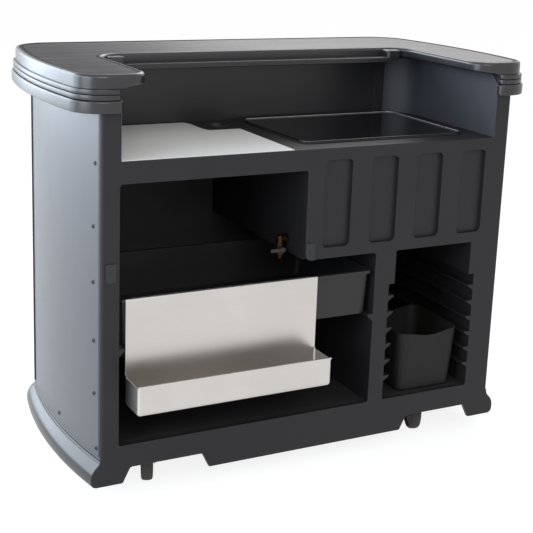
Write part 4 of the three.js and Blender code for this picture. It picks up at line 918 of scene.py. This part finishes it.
class BAR_OT_counter(bpy.types.Operator):
    """Makes the counter's slab, banded edge and inlay"""

    bl_idname = "portable_bar.counter"
    bl_label = "Counter"

    def execute(self, context):
        whole, inlay = Span("counter_top"), Span("counter_inlay")
        inlay_edge = 0.4
        bm = bmesh.new()
        self.add_slab(bm, whole, inlay, context.scene.bar_sizes.counter_nose / MM)
        self.add_lugs(bm)
        self.add_band(bm, whole.z0)
        node, sheen = "counter_top", "counter_sheen"
        piece = add_piece("counter_moulding", bm, BAR, "moulding", node, sharp=35.0, finish=sheen)
        piece.data.materials.append(finish_of("rim_dull"))
        bm = bmesh.new()
        plan = Counter(INLAY_EDGE - GROOVE, RIM_INNER + GROOVE, RECESS_NOSE - GROOVE)
        sheet = close(bm, plan.draw(bm, inlay.z0))[0]
        top = raise_face(bm, sheet, (0, 0, inlay.high))
        round_edges(bm, list(top.edges), inlay_edge, segments=2)
        add_piece("counter_inlay_sheet", bm, BAR, "laminate", "counter_inlay", sharp=35.0)
        return {"FINISHED"}

    def add_slab(self, bm, whole, inlay, nose):
        """The slab: a round nose, wings that thin inwards, a raised rim and the inlay's recess."""
        plan = Counter(SLAB_EDGE, 0, WING_NOSE)
        rise, ridge, recess_edge = 7, 5, 2.2
        under = close(bm, plan.draw(bm, SLAB_BOTTOM + rise))[0]
        ring = list(under.edges)
        top = raise_face(bm, under, (0, 0, whole.z1 - SLAB_BOTTOM - rise))
        low = raise_face(bm, under, (0, 0, HAIR - rise))
        for vert in low.verts:
            across = abs(vert.co.x) / MM
            share = plan.undercut(across, (vert.co.y - FRONT_Y) / MM)
            if share:
                across = min(across + share * UNDERCUT, plan.inner + UNDERCUT)
                vert.co.x = math.copysign(across * MM, vert.co.x)
        face_outwards(bm)
        round_edges(bm, folds(ring, angle=0.1), ridge)
        round_edges(bm, list(top.edges), nose, segments=6)
        flat = faces_at(bm, whole.z1)
        outline = list(flat[0].edges)
        bmesh.ops.delete(bm, geom=flat, context="FACES_ONLY")
        recess = Counter(INLAY_EDGE, RIM_INNER, RECESS_NOSE).draw(bm, whole.z1)
        made = bmesh.ops.triangle_fill(bm, edges=outline + recess, use_beauty=True, use_dissolve=False)
        for face in made["geom"]:
            if isinstance(face, bmesh.types.BMFace):
                face.material_index = 1
        close(bm, run(bm, recess, (0, 0, inlay.z0 - HAIR - whole.z1)))
        round_edges(bm, recess, recess_edge, segments=3)

    def add_lugs(self, bm):
        """The two lugs at the ends of the glass ledge."""
        plan = [(437, 410), (437, 366), (484, 366), (484, 396)]
        height, corner, edge = 30, 8, 4
        for side in SIDES.values():
            corners = [at(side * x, depth, SLAB_BOTTOM + HAIR) for x, depth in plan]
            top = raise_face(bm, rounded_plate(bm, corners, corner, segments=5), (0, 0, height))
            face_outwards(bm)
            round_edges(bm, list(top.edges), edge)

    def add_band(self, bm, low):
        """The lower band and the two beads, wrapped round the front corners, and what carries them."""
        top, lap, clear = 1131, 2, 0.5
        wrap = CORNER_DEPTH - CORNER_RADIUS + HAIR
        reach = BAND_EDGE - wrap
        outer = [
            (-2.5, low), (-0.8, low + 0.8), (0, low + 2.5), (0, 1097), (-0.6, 1099.2), (-2.4, 1101),
        ]
        beads = [
            (49.5, 1102.0), (52.6, 1103.3), (53.4, 1109.2), (52.6, 1115.2), (49.5, 1116.5),
            (52.6, 1117.8), (53.4, 1123.5), (52.4, 1129.2), (47.0, top),
        ]
        section = [(wrap, low)] + [(BAND_EDGE + out, z) for out, z in outer] + beads + [(wrap, top)]
        before = set(bm.faces)
        first = rear_section(bm, section)
        edges = sweep_corner(bm, sweep_end(bm, first, CORNER_ANGLE))
        edges = run(bm, edges, (WRAP_END + reach - CORNER_X, 0, 0))
        close(bm, swing(bm, edges, at(WRAP_END + reach, -HAIR, 0), -QUARTER, steps=10))
        inner = rear_section(bm, rectangle(HAIR, low + clear, wrap + lap, top))
        close(bm, sweep_end(bm, inner, CORNER_ANGLE))
        made = [face for face in bm.faces if face not in before]
        lines = list(dict.fromkeys([edge for face in made for edge in face.edges] + first + inner))
        mirror_halves(bm, corners_of(lines) + lines + made)


# Splash walls, lid and grommet


class BAR_OT_splash_sheets(bpy.types.Operator):
    """Bends the two side splash sheets and cuts their front top corners"""

    bl_idname = "portable_bar.splash_sheets"
    bl_label = "Splash sheets"

    def execute(self, context):
        bend = context.scene.bar_sizes.splash_bend / MM
        thick, cut = 2.5, 30
        for name, side in SIDES.items():
            name += "_splash_sheet"
            whole = Span(name)
            outer = max(abs(whole.x0), abs(whole.x1))
            section = rectangle(outer - thick, whole.z0, outer, whole.z1)
            bm = bmesh.new()
            edges = loop(bm, [at(x, whole.d0, z) for x, z in section])
            close(bm, edges)
            edges = run(bm, edges, (0, whole.deep - bend, 0))
            close(bm, swing(bm, edges, at(outer - bend, whole.d1 - bend, 0), QUARTER, steps=16))
            face_outwards(bm)
            cut_away(bm, at(0, whole.d0 + cut, whole.z1), (0, -1, 1))
            bmesh.ops.scale(bm, vec=(side, 1, 1), verts=bm.verts)
            add_piece(name + "_bent", bm, BAR, "decor_sheet", name, finish="decor_dull")
        return {"FINISHED"}


class BAR_OT_ice_lid(bpy.types.Operator):
    """Makes the gloss lid with its raised rim, and the hose grommet"""

    bl_idname = "portable_bar.ice_lid"
    bl_label = "Ice bin lid"

    def execute(self, context):
        whole = Span("ice_bin_lid")
        radius = context.scene.bar_sizes.lid_corner / MM
        edge, rim, sink, crest_edge, panel_edge = 2, 4.5, 2.6, 1.6, 0.6
        plan = rectangle(whole.x0, whole.d0, whole.x1, whole.d1)
        bm = bmesh.new()
        face = rounded_plate(bm, [at(x, depth, whole.z0) for x, depth in plan], radius)
        top = raise_face(bm, face, (0, 0, whole.high))
        face_outwards(bm)
        round_edges(bm, list(top.edges), edge)
        top = faces_at(bm, whole.z1)[0]
        bmesh.ops.inset_region(bm, faces=[top], thickness=rim * MM, depth=0)
        crest = list(top.edges)
        panel = raise_face(bm, top, (0, 0, -sink))
        round_edges(bm, list(panel.edges), panel_edge, segments=2)
        # The crest's rounded faces take the pale crest finish: a painted highlight along the lid's rim
        made = round_edges(bm, crest, crest_edge, segments=3)
        for face in made["faces"]:
            face.material_index = 1
        panel = add_piece("ice_bin_lid_panel", bm, "lid", "lid_gloss", "ice_bin_lid", sharp=35.0)
        panel.data.materials.append(finish_of("lid_crest"))
        self.add_grommet()
        return {"FINISHED"}

    def add_grommet(self):
        """A rounded rubber ring in the hose hole."""
        whole = Span("hose_grommet")
        hole, sleeve, flange = 22, 27, whole.wide / 2
        section = [
            (hole, whole.z0), (sleeve, whole.z0), (sleeve, DECK_TOP + 0.2), (flange, DECK_TOP + 0.2),
            (flange - 0.6, DECK_TOP + 1.2), (flange - 4, DECK_TOP + 2.4), (sleeve - 1, whole.z1),
            (hole + 1.5, DECK_TOP + 1.8), (hole, DECK_TOP),
        ]
        bm = bmesh.new()
        edges = loop(bm, [at(whole.x + r, whole.depth, z) for r, z in section])
        turn_round(bm, edges, at(whole.x, whole.depth, 0), axis=(0, 0, 1), steps=48)
        add_piece("hose_grommet_ring", bm, BAR, "liner", "hose_grommet", sharp=50.0)


# Speed rail, waste bin and wheels


class BAR_OT_speed_rail(bpy.types.Operator):
    """Folds the stainless speed rail: its hook, back, trough and ends"""

    bl_idname = "portable_bar.speed_rail"
    bl_label = "Speed rail"

    def execute(self, context):
        sizes = context.scene.bar_sizes
        whole = Span("speed_rail")
        bend = sizes.rail_bend / MM
        half = sizes.rail_sheet / MM / 2
        back_face, trough, corner = 3.7, 84, 7
        curl, inset, drop = 5.5, 22, 22
        roll, roll_radius, hem, end_drop = 3, 2, 7, 5.5
        left, right = whole.x0 + half, whole.x1 - half
        back, hook, front = back_face - half, whole.d1 - half, whole.d0 + half
        top, bottom = whole.z1 - half, whole.z0 + half
        lip = bottom + trough
        level = lip - end_drop
        bm = bmesh.new()
        self.fold(bm, left, right, (back, top - curl), [
            ("run", 0, level + 2 * corner - top + curl),
            ("run", 0, -2 * corner),
            ("run", 0, bottom + bend - level),
            ("bend", back - bend, bottom + bend, -90),
            ("run", front - back + 2 * bend, 0),
            ("bend", front + bend, bottom + bend, -90),
            ("run", 0, level - bottom - bend),
            ("run", 0, lip - roll - level),
            ("bend", front + roll_radius, lip - roll, -180),
            ("run", 0, -hem),
        ], level)
        self.fold(bm, left, right, (back, top - curl), [
            ("bend", back + curl, top - curl, -90),
        ])
        self.fold(bm, left + inset, right - inset, (back + curl, top), [
            ("run", hook - back - 2 * curl, 0),
            ("bend", hook - curl, top - curl, -90),
            ("run", 0, curl - drop),
        ])
        bmesh.ops.remove_doubles(bm, verts=bm.verts, dist=MERGE)
        face_outwards(bm)
        round_edges(bm, folds(bm.edges, angle=1.2), corner)
        piece = add_piece("speed_rail_folded", bm, "rail", "stainless", "speed_rail", sharp=50.0)
        add_wall(piece, sizes.rail_sheet, offset=0, edge=0.3)
        return {"FINISHED"}

    def fold(self, bm, left, right, start, moves, level=None):
        """A sheet along a line of depth and height, from side to side, with end plates to a level."""
        before = set(bm.edges)
        tip = [bm.verts.new(at(left, *start))]
        for kind, *how in moves:
            if kind == "run":
                tip = run(bm, tip, (0, *how))
            else:
                depth, z, degrees = how
                turn = math.radians(degrees)
                tip = swing(bm, tip, at(left, depth, z), turn, steps=8, axis=(1, 0, 0))
        line = drawn_since(bm, before)
        if level:
            self.add_ends(bm, set(corners_of(line)) - set(tip), left, right, level)
        run(bm, line, (right - left, 0, 0))

    def add_ends(self, bm, verts, left, right, level):
        """The two end plates, under the height of the trough's lip."""
        points = self.in_order([vert.co.copy() for vert in verts if vert.co.z < level * MM + MERGE])
        for x in (left, right):
            bm.faces.new([bm.verts.new((x * MM, point.y, point.z)) for point in points])

    @staticmethod
    def in_order(points):
        """Points of the trough from its back, under, to its front."""
        above = 0.05
        middle_y = (max(p.y for p in points) + min(p.y for p in points)) / 2
        middle_z = max(p.z for p in points) + above
        return sorted(points, key=lambda p: math.atan2(p.y - middle_y, middle_z - p.z), reverse=True)


class BAR_OT_waste_bin(bpy.types.Operator):
    """Makes the tapered waste bin with its dipped rim"""

    bl_idname = "portable_bar.waste_bin"
    bl_label = "Waste bin"

    def execute(self, context):
        sizes = context.scene.bar_sizes
        whole = Span("waste_bin")
        draft, corner, foot_edge, flat_ends, slices = 12, 28, 9, 30, 20
        plan = rectangle(whole.x0 + draft, whole.d0 + draft, whole.x1 - draft, whole.d1 - draft)
        bm = bmesh.new()
        face = rounded_plate(bm, [at(x, depth, whole.z0) for x, depth in plan], corner)
        foot = list(face.edges)
        top = raise_face(bm, face, (0, 0, whole.high))
        grow = (whole.wide / (whole.wide - 2 * draft), whole.deep / (whole.deep - 2 * draft), 1)
        centre = Matrix.Translation(-at(whole.x, whole.depth, 0))
        bmesh.ops.scale(bm, vec=grow, space=centre, verts=list(top.verts))
        bmesh.ops.delete(bm, geom=[top], context="FACES_ONLY")
        round_edges(bm, foot, foot_edge)
        for i in range(1, slices):
            place = at(whole.x0 + whole.wide * i / slices, 0, 0)
            bmesh.ops.bisect_plane(
                bm, geom=everything(bm), dist=ON_PLANE, plane_co=place, plane_no=(1, 0, 0),
            )
        for vert in bm.verts:
            if abs(vert.co.z - whole.z1 * MM) < MERGE:
                along = max(-0.5, min(0.5, (vert.co.x / MM - whole.x) / (whole.wide - flat_ends)))
                vert.co.z -= sizes.waste_dip * (1 + math.cos(2 * math.pi * along)) / 2
        piece = add_piece("waste_bin_shell", bm, "waste", "waste_grey", "waste_bin", sharp=45.0)
        add_wall(piece, sizes.waste_wall, offset=-1, edge=0.9)
        return {"FINISHED"}


class BAR_OT_wheels(bpy.types.Operator):
    """Turns the four caster wheels"""

    bl_idname = "portable_bar.wheels"
    bl_label = "Caster wheels"

    def execute(self, context):
        tread = context.scene.bar_sizes.wheel_radius / MM
        # Half of a wheel's section: radius and distance along the axle
        half = [
            (tread, 0), (tread - 0.4, 7), (tread - 1.6, 12), (tread - 4, 15), (tread - 7, 16), (55, 16),
            (53, 15), (51.5, 11), (50, 10), (28, 10), (25, 11), (23, 15), (21, 16), (5.8, 16),
        ]
        section = half + [(r, -along) for r, along in reversed(half[1:])]
        for joint in frame["joints"]:
            if not joint["name"].endswith("_roll"):
                continue
            centre, axis = Vector(joint["pos_m"]), Vector(joint["axis"]).normalized()
            body = joint["child"]
            node = body.replace("_wheel", "_caster_wheel")
            bm = bmesh.new()
            points = [centre + axis * along * MM + Vector((0, 0, r * MM)) for r, along in section]
            turn_round(bm, loop(bm, points), centre, axis, steps=72)
            add_piece(node + "_tyre", bm, body, "wheel_rubber", node, sharp=40.0)
        return {"FINISHED"}


# Fasteners and carried-over CAD pieces


def add_screw(bm, point, outward, radius, height):
    """A low domed screw head with a round socket."""
    dome, socket, sink = 0.7, 0.3, 0.5
    turn = Vector(outward).to_track_quat("Z", "Y").to_matrix().to_4x4()
    made = bmesh.ops.create_circle(
        bm, cap_ends=True, cap_tris=False, segments=16, radius=radius * MM,
        matrix=Matrix.Translation(point) @ turn,
    )
    step = Vector(outward).normalized() * height
    top = raise_face(bm, made["verts"][0].link_faces[0], step)
    made = round_edges(bm, list(top.edges), height * dome, segments=3)
    faces = made["faces"] + [face for vert in made["verts"] for face in vert.link_faces]
    top = max(faces, key=lambda face: len(face.verts))
    bmesh.ops.inset_region(bm, faces=[top], thickness=radius * socket * MM, depth=0)
    raise_face(bm, top, -step * sink)


# Screws of the end sheets, by depth and height
END_SCREWS = [(33, 938), (43, 771), (44, 621), (40, 461), (38, 314), (26, 160), (276, 166)]


class BAR_OT_fasteners(bpy.types.Operator):
    """Sets the screws along the end sheets and in the splash corner strips"""

    bl_idname = "portable_bar.fasteners"
    bl_label = "Fasteners"

    def execute(self, context):
        radius, height = context.scene.bar_sizes.screw_radius / MM, 2.4
        strip = Span("right_corner_strip")
        strip_z, strip_radius, strip_height = 1044, 4, 1.5
        ends, strips = bmesh.new(), bmesh.new()
        for side in SIDES.values():
            for depth, z in END_SCREWS:
                angle = end_angle(depth)
                outward = (side * math.cos(angle), math.sin(angle), 0)
                add_screw(ends, at(side * end_half(depth), depth, z), outward, radius, height)
            place = at(side * strip.x, strip.d0, strip_z)
            add_screw(strips, place, (0, -1, 0), strip_radius, strip_height)
        add_piece("end_sheet_screws", ends, BAR, "plate_grey", sharp=40.0)
        add_piece("corner_strip_screws", strips, BAR, "plate_grey", sharp=40.0)
        return {"FINISHED"}


# Carried-over nodes: their slot and the width of their soft edges
KEPT_NODES = {
    "floor_panel": ("liner", 0), "outer_wall": ("moulding", 0), "left_liner": ("liner", 1.5),
    "rear_liner": ("liner", 0), "ice_well_side": ("liner", 1), "ice_well_floor": ("liner", 1),
    "cutting_board": ("board", 1.2), "ice_bin": ("bin_black", 0.8), "storage_tray": ("bin_black", 2.2),
    "drain_elbow": ("brass_fitting", 1), "drain_valve": ("brass_fitting", 1),
    "drain_lever": ("lever_sleeve", 0.8), "splash_back": ("moulding", 0),
    "left_corner_strip": ("moulding", 0.8), "right_corner_strip": ("moulding", 0.8),
    "glass_ledge": ("moulding", 3), "left_lock_plate": ("plate_grey", 0.7),
    "right_lock_plate": ("plate_grey", 0.7),
}

CASTER_EDGES = {"plate": 0.8, "fork": 1.0, "axle": 0.7}


class BAR_OT_carried_over(bpy.types.Operator):
    """Gives the carried-over CAD pieces their finishes and soft edges"""

    bl_idname = "portable_bar.carried_over"
    bl_label = "Carried-over pieces"

    def execute(self, context):
        kept = dict(KEPT_NODES)
        for corner in ("front_left", "front_right", "rear_left", "rear_right"):
            for part, edge in CASTER_EDGES.items():
                kept[f"{corner}_caster_{part}"] = ("zinc_steel", edge)
        for name, (slot, edge) in kept.items():
            node = frame["nodes"][name]
            node.data.materials.clear()
            node.data.materials.append(finish_of(FINISH_OF_NODE.get(name, slot)))
            if edge:
                self.soften(node, edge)
        return {"FINISHED"}

    def soften(self, node, edge):
        """Joins the loose triangles and rounds the sharp edges."""
        weld = node.modifiers.new("Join", "WELD")
        weld.merge_threshold = MERGE
        flatten = node.modifiers.new("Flat faces", "DECIMATE")
        flatten.decimate_type = "DISSOLVE"
        flatten.angle_limit = math.radians(1)
        soft_edges(node, edge, segments=3, degrees=40).harden_normals = True


# Stage

COOL = (0.76, 0.87, 1.0)
WHITE = (1.0, 1.0, 1.0)

# Soft lamps: place, target, width, height, power in watts and tint
LAMPS = {
    "key": ((-1.2, -4.4, 3.2), (0, 0, 0.7), 3.2, 2.4, 90, WHITE),
    "left_front": ((-4.2, -1.4, 1.8), (0.1, -0.1, 0.9), 2.6, 2.6, 130, COOL),
    "left": ((-3.7, 3.2, 2.0), (-0.66, 0, 0.9), 6.5, 3.6, 450, COOL),
    "right_rear": ((2.6, 3.4, 3.4), (0, 0.2, 1.1), 3.0, 2.0, 60, WHITE),
}

# The floor's half width in metres, its glow and that glow's share where it is seen
FLOOR_HALF = 60
FLOOR_GLOW = 1.15
FLOOR_SHARE = 0.74

# Strength of the surroundings as light; where they are seen it is 1
AMBIENT = 0.6

# Pixels across the frame and the camera's sensor in millimetres
FRAME_WIDE = 533
SENSOR = 36


class BAR_OT_stage(bpy.types.Operator):
    """Sets the pale floor, soft lights, white surroundings and the camera"""

    bl_idname = "portable_bar.stage"
    bl_label = "Stage"

    def execute(self, context):
        self.add_floor(context)
        self.add_surroundings(context)
        for name, values in LAMPS.items():
            self.add_lamp(context, name, *values)
        self.add_camera(context)
        context.scene.view_settings.view_transform = "Standard"
        return {"FINISHED"}

    def seen_directly(self, start):
        """1 for rays that show the background, 0 for the light it gives."""
        outputs = start.node("ShaderNodeLightPath").socket.node.outputs
        names = ("Is Camera Ray", "Is Glossy Ray", "Is Transmission Ray")
        camera, glossy, through = (Finish(start.tree, outputs[name]) for name in names)
        return start.math("MAXIMUM", start.math("MAXIMUM", camera, glossy), through)

    def add_floor(self, context):
        """A wide pale floor that keeps the shadow."""
        bm = bmesh.new()
        bmesh.ops.create_grid(bm, x_segments=1, y_segments=1, size=FLOOR_HALF)
        mesh = bpy.data.meshes.new("floor")
        bm.to_mesh(mesh)
        bm.free()
        floor = bpy.data.objects.new("floor", mesh)
        context.scene.collection.objects.link(floor)
        surface = Surface("floor_finish")
        start = surface.start
        tone = rgba(context.scene.bar_colours.floor)
        matt = start.node("ShaderNodeBsdfDiffuse", None, {"Color": tone})
        glow = start.node("ShaderNodeEmission", None, {"Color": rgba(WHITE), "Strength": FLOOR_GLOW})
        share = self.seen_directly(start) * FLOOR_SHARE
        mixed = start.node("ShaderNodeMixShader", None, {0: share, 1: matt, 2: glow})
        start.node("ShaderNodeOutputMaterial", None, {"Surface": mixed})
        mesh.materials.append(surface.material)

    def add_surroundings(self, context):
        """White where it is seen, softer as light."""
        world = bpy.data.worlds.new("surroundings")
        world.use_nodes = True
        world.node_tree.nodes.clear()
        start = Finish(world.node_tree)
        strength = self.seen_directly(start) * (1 - AMBIENT) + AMBIENT
        light = start.node("ShaderNodeBackground", None, {"Color": rgba(WHITE), "Strength": strength})
        start.node("ShaderNodeOutputWorld", None, {"Surface": light})
        context.scene.world = world

    def add_lamp(self, context, name, place, target, wide, high, power, tint):
        """A large soft lamp turned towards a point."""
        lamp = bpy.data.lights.new(name, "AREA")
        lamp.shape = "RECTANGLE"
        lamp.size = wide
        lamp.size_y = high
        lamp.energy = power
        lamp.color = tint
        holder = bpy.data.objects.new(name, lamp)
        context.scene.collection.objects.link(holder)
        holder.location = place
        holder.rotation_euler = (Vector(target) - Vector(place)).to_track_quat("-Z", "Y").to_euler()

    def add_camera(self, context):
        """The camera at the photograph's viewing angle."""
        view = context.scene.bar_view
        camera = bpy.data.cameras.new("camera")
        camera.sensor_width = SENSOR
        camera.lens = view.focal / FRAME_WIDE * SENSOR
        camera.shift_y = view.shift
        holder = bpy.data.objects.new("camera", camera)
        context.scene.collection.objects.link(holder)
        level = Vector((math.sin(view.yaw), math.cos(view.yaw), 0))
        forward = level * math.cos(view.pitch) - Vector((0, 0, math.sin(view.pitch)))
        side = Vector((math.cos(view.yaw), -math.sin(view.yaw), 0))
        up = side.cross(forward)
        across = side * math.cos(view.roll) + up * math.sin(view.roll)
        upward = up * math.cos(view.roll) - side * math.sin(view.roll)
        turned = Matrix((across, upward, -forward)).transposed()
        holder.matrix_world = Matrix.Translation(view.place) @ turned.to_4x4()
        context.scene.camera = holder


# Add-on


def length(label, description, default):
    """A length in metres that a user may change."""
    return bpy.props.FloatProperty(
        name=label, description=description, default=default, min=0.0, precision=4, unit="LENGTH",
    )


def colour(label, description, default):
    """A colour that a user may change."""
    return bpy.props.FloatVectorProperty(
        name=label, description=description, default=default, size=3, min=0.0, max=1.0, subtype="COLOR",
    )


def angle(label, description, degrees):
    """An angle that a user may change."""
    return bpy.props.FloatProperty(
        name=label, description=description, default=math.radians(degrees), subtype="ANGLE",
    )


class BarSizes(bpy.types.PropertyGroup):
    """Sizes of the forms that the CAD frame leaves plain."""

    face_edge: length("Face edge", "Rounding of the front's edges", 0.0022)
    face_skin: length("Face skin", "Depth of the seamless front", 0.0028)
    skirt_reach: length("Skirt reach", "Swell of the base skirt past the ends", 0.027)
    skirt_wall: length("Skirt wall", "Wall of the base skirt", 0.01)
    decor_sheet: length("Decor sheet", "Thickness of the decor sheets", 0.003)
    wing_inner: length("Wing inner edge", "Middle of the bar to the wings' inner edges", 0.508)
    wing_rear: length("Wing rear edge", "Front plane to the counter's inner rear edge", 0.405)
    wing_corner: length("Wing corner", "Inner corner radius of the counter", 0.066)
    counter_nose: length("Counter nose", "Rounding of the counter's top edge", 0.009)
    splash_bend: length("Splash bend", "Rear bend of the splash sheets", 0.08)
    lid_corner: length("Lid corner", "Corner radius of the lid", 0.03)
    rail_sheet: length("Rail sheet", "Thickness of the speed rail", 0.0015)
    rail_bend: length("Rail bend", "Bend radius of the trough", 0.012)
    waste_dip: length("Waste bin dip", "Dip in the waste bin's rim", 0.012)
    waste_wall: length("Waste bin wall", "Wall of the waste bin", 0.003)
    wheel_radius: length("Wheel radius", "Radius of the caster wheels", 0.0629)
    screw_radius: length("Screw radius", "Radius of the end sheets' screw heads", 0.0058)


class BarColours(bpy.types.PropertyGroup):
    """Base colours of the finishes."""

    moulding: colour("Moulding", "Satin black moulding", (0.0135, 0.0126, 0.0142))
    liner: colour("Liner", "Compartment liners", (0.022, 0.021, 0.021))
    decor_sheet: colour("Decor sheet", "Half-gloss decor sheet", (0.034, 0.037, 0.045))
    laminate: colour("Laminate", "Counter inlay", (0.052, 0.048, 0.051))
    board: colour("Board", "Cutting board", (0.66, 0.66, 0.65))
    lid_gloss: colour("Lid", "Gloss black lid", (0.006, 0.006, 0.007))
    # Pale grey crest of the gloss black lid: painted highlight along the rim
    lid_crest: colour("Lid crest", "Bright crest of the lid's rim", (0.3, 0.3, 0.31))
    bin_black: colour("Bins", "Tray and ice bin", (0.014, 0.0135, 0.0145))
    stainless: colour("Stainless", "Speed rail", (0.6, 0.57, 0.545))
    # Brass of the drain, darkened nearly to black as painted shade
    brass: colour("Brass", "Drain fitting", (0.05, 0.029, 0.015))
    # Sleeve of the drain lever, darkened nearly to black as painted shade
    lever: colour("Lever", "Sleeve of the drain lever", (0.02, 0.02, 0.02))
    waste: colour("Waste bin", "Dark grey waste bin", (0.014, 0.013, 0.0125))
    zinc: colour("Zinc", "Caster steel", (0.42, 0.42, 0.41))
    rubber: colour("Rubber", "Caster tyres", (0.05, 0.046, 0.038))
    plate: colour("Plates", "Lock plates and screws", (0.055, 0.056, 0.062))
    floor: colour("Floor", "Studio floor", (0.9, 0.9, 0.9))


class BarView(bpy.types.PropertyGroup):
    """The camera at the photograph's viewing angle."""

    place: bpy.props.FloatVectorProperty(
        name="Place", description="Where the camera stands", subtype="TRANSLATION", unit="LENGTH",
        default=(-1.6599, -3.1299, 1.5719),
    )
    yaw: angle("Yaw", "Turn from straight ahead", 27.974)
    pitch: angle("Pitch", "Tilt below level", 14.292)
    roll: angle("Roll", "Lean of the camera", 2.106)
    focal: bpy.props.FloatProperty(
        name="Focal length", description="In pixels of a 533 pixel frame", default=1209.9,
    )
    shift: bpy.props.FloatProperty(
        name="Shift", description="Vertical shift of the frame", default=-0.09,
    )


OPERATORS = (
    BAR_OT_front_face,
    BAR_OT_base_skirt,
    BAR_OT_decor_sheets,
    BAR_OT_counter,
    BAR_OT_splash_sheets,
    BAR_OT_ice_lid,
    BAR_OT_speed_rail,
    BAR_OT_waste_bin,
    BAR_OT_wheels,
    BAR_OT_fasteners,
    BAR_OT_carried_over,
    BAR_OT_stage,
)


class BAR_PT_looks(bpy.types.Panel):
    """Sidebar panel with the bar's sizes, colours and pieces"""

    bl_idname = "BAR_PT_looks"
    bl_label = "Portable bar"
    bl_space_type = "VIEW_3D"
    bl_region_type = "UI"
    bl_category = "Portable bar"

    def draw(self, context):
        for group in (context.scene.bar_sizes, context.scene.bar_colours, context.scene.bar_view):
            box = self.layout.box()
            for name in group.bl_rna.properties.keys():
                if name not in ("rna_type", "name"):
                    box.prop(group, name)
        for operator in OPERATORS:
            self.layout.operator(operator.bl_idname)


CLASSES = (BarSizes, BarColours, BarView) + OPERATORS + (BAR_PT_looks,)


def register():
    """Registers the classes and hangs the values on the scene."""
    for item in CLASSES:
        bpy.utils.register_class(item)
    bpy.types.Scene.bar_sizes = bpy.props.PointerProperty(type=BarSizes)
    bpy.types.Scene.bar_colours = bpy.props.PointerProperty(type=BarColours)
    bpy.types.Scene.bar_view = bpy.props.PointerProperty(type=BarView)


def unregister():
    """Takes the values and the classes away again."""
    del bpy.types.Scene.bar_view
    del bpy.types.Scene.bar_colours
    del bpy.types.Scene.bar_sizes
    for item in reversed(CLASSES):
        bpy.utils.unregister_class(item)


def main():
    """Builds every piece in order."""
    register()
    for operator in OPERATORS:
        group, name = operator.bl_idname.split(".")
        getattr(getattr(bpy.ops, group), name)()


if __name__ == "__main__":
    main()
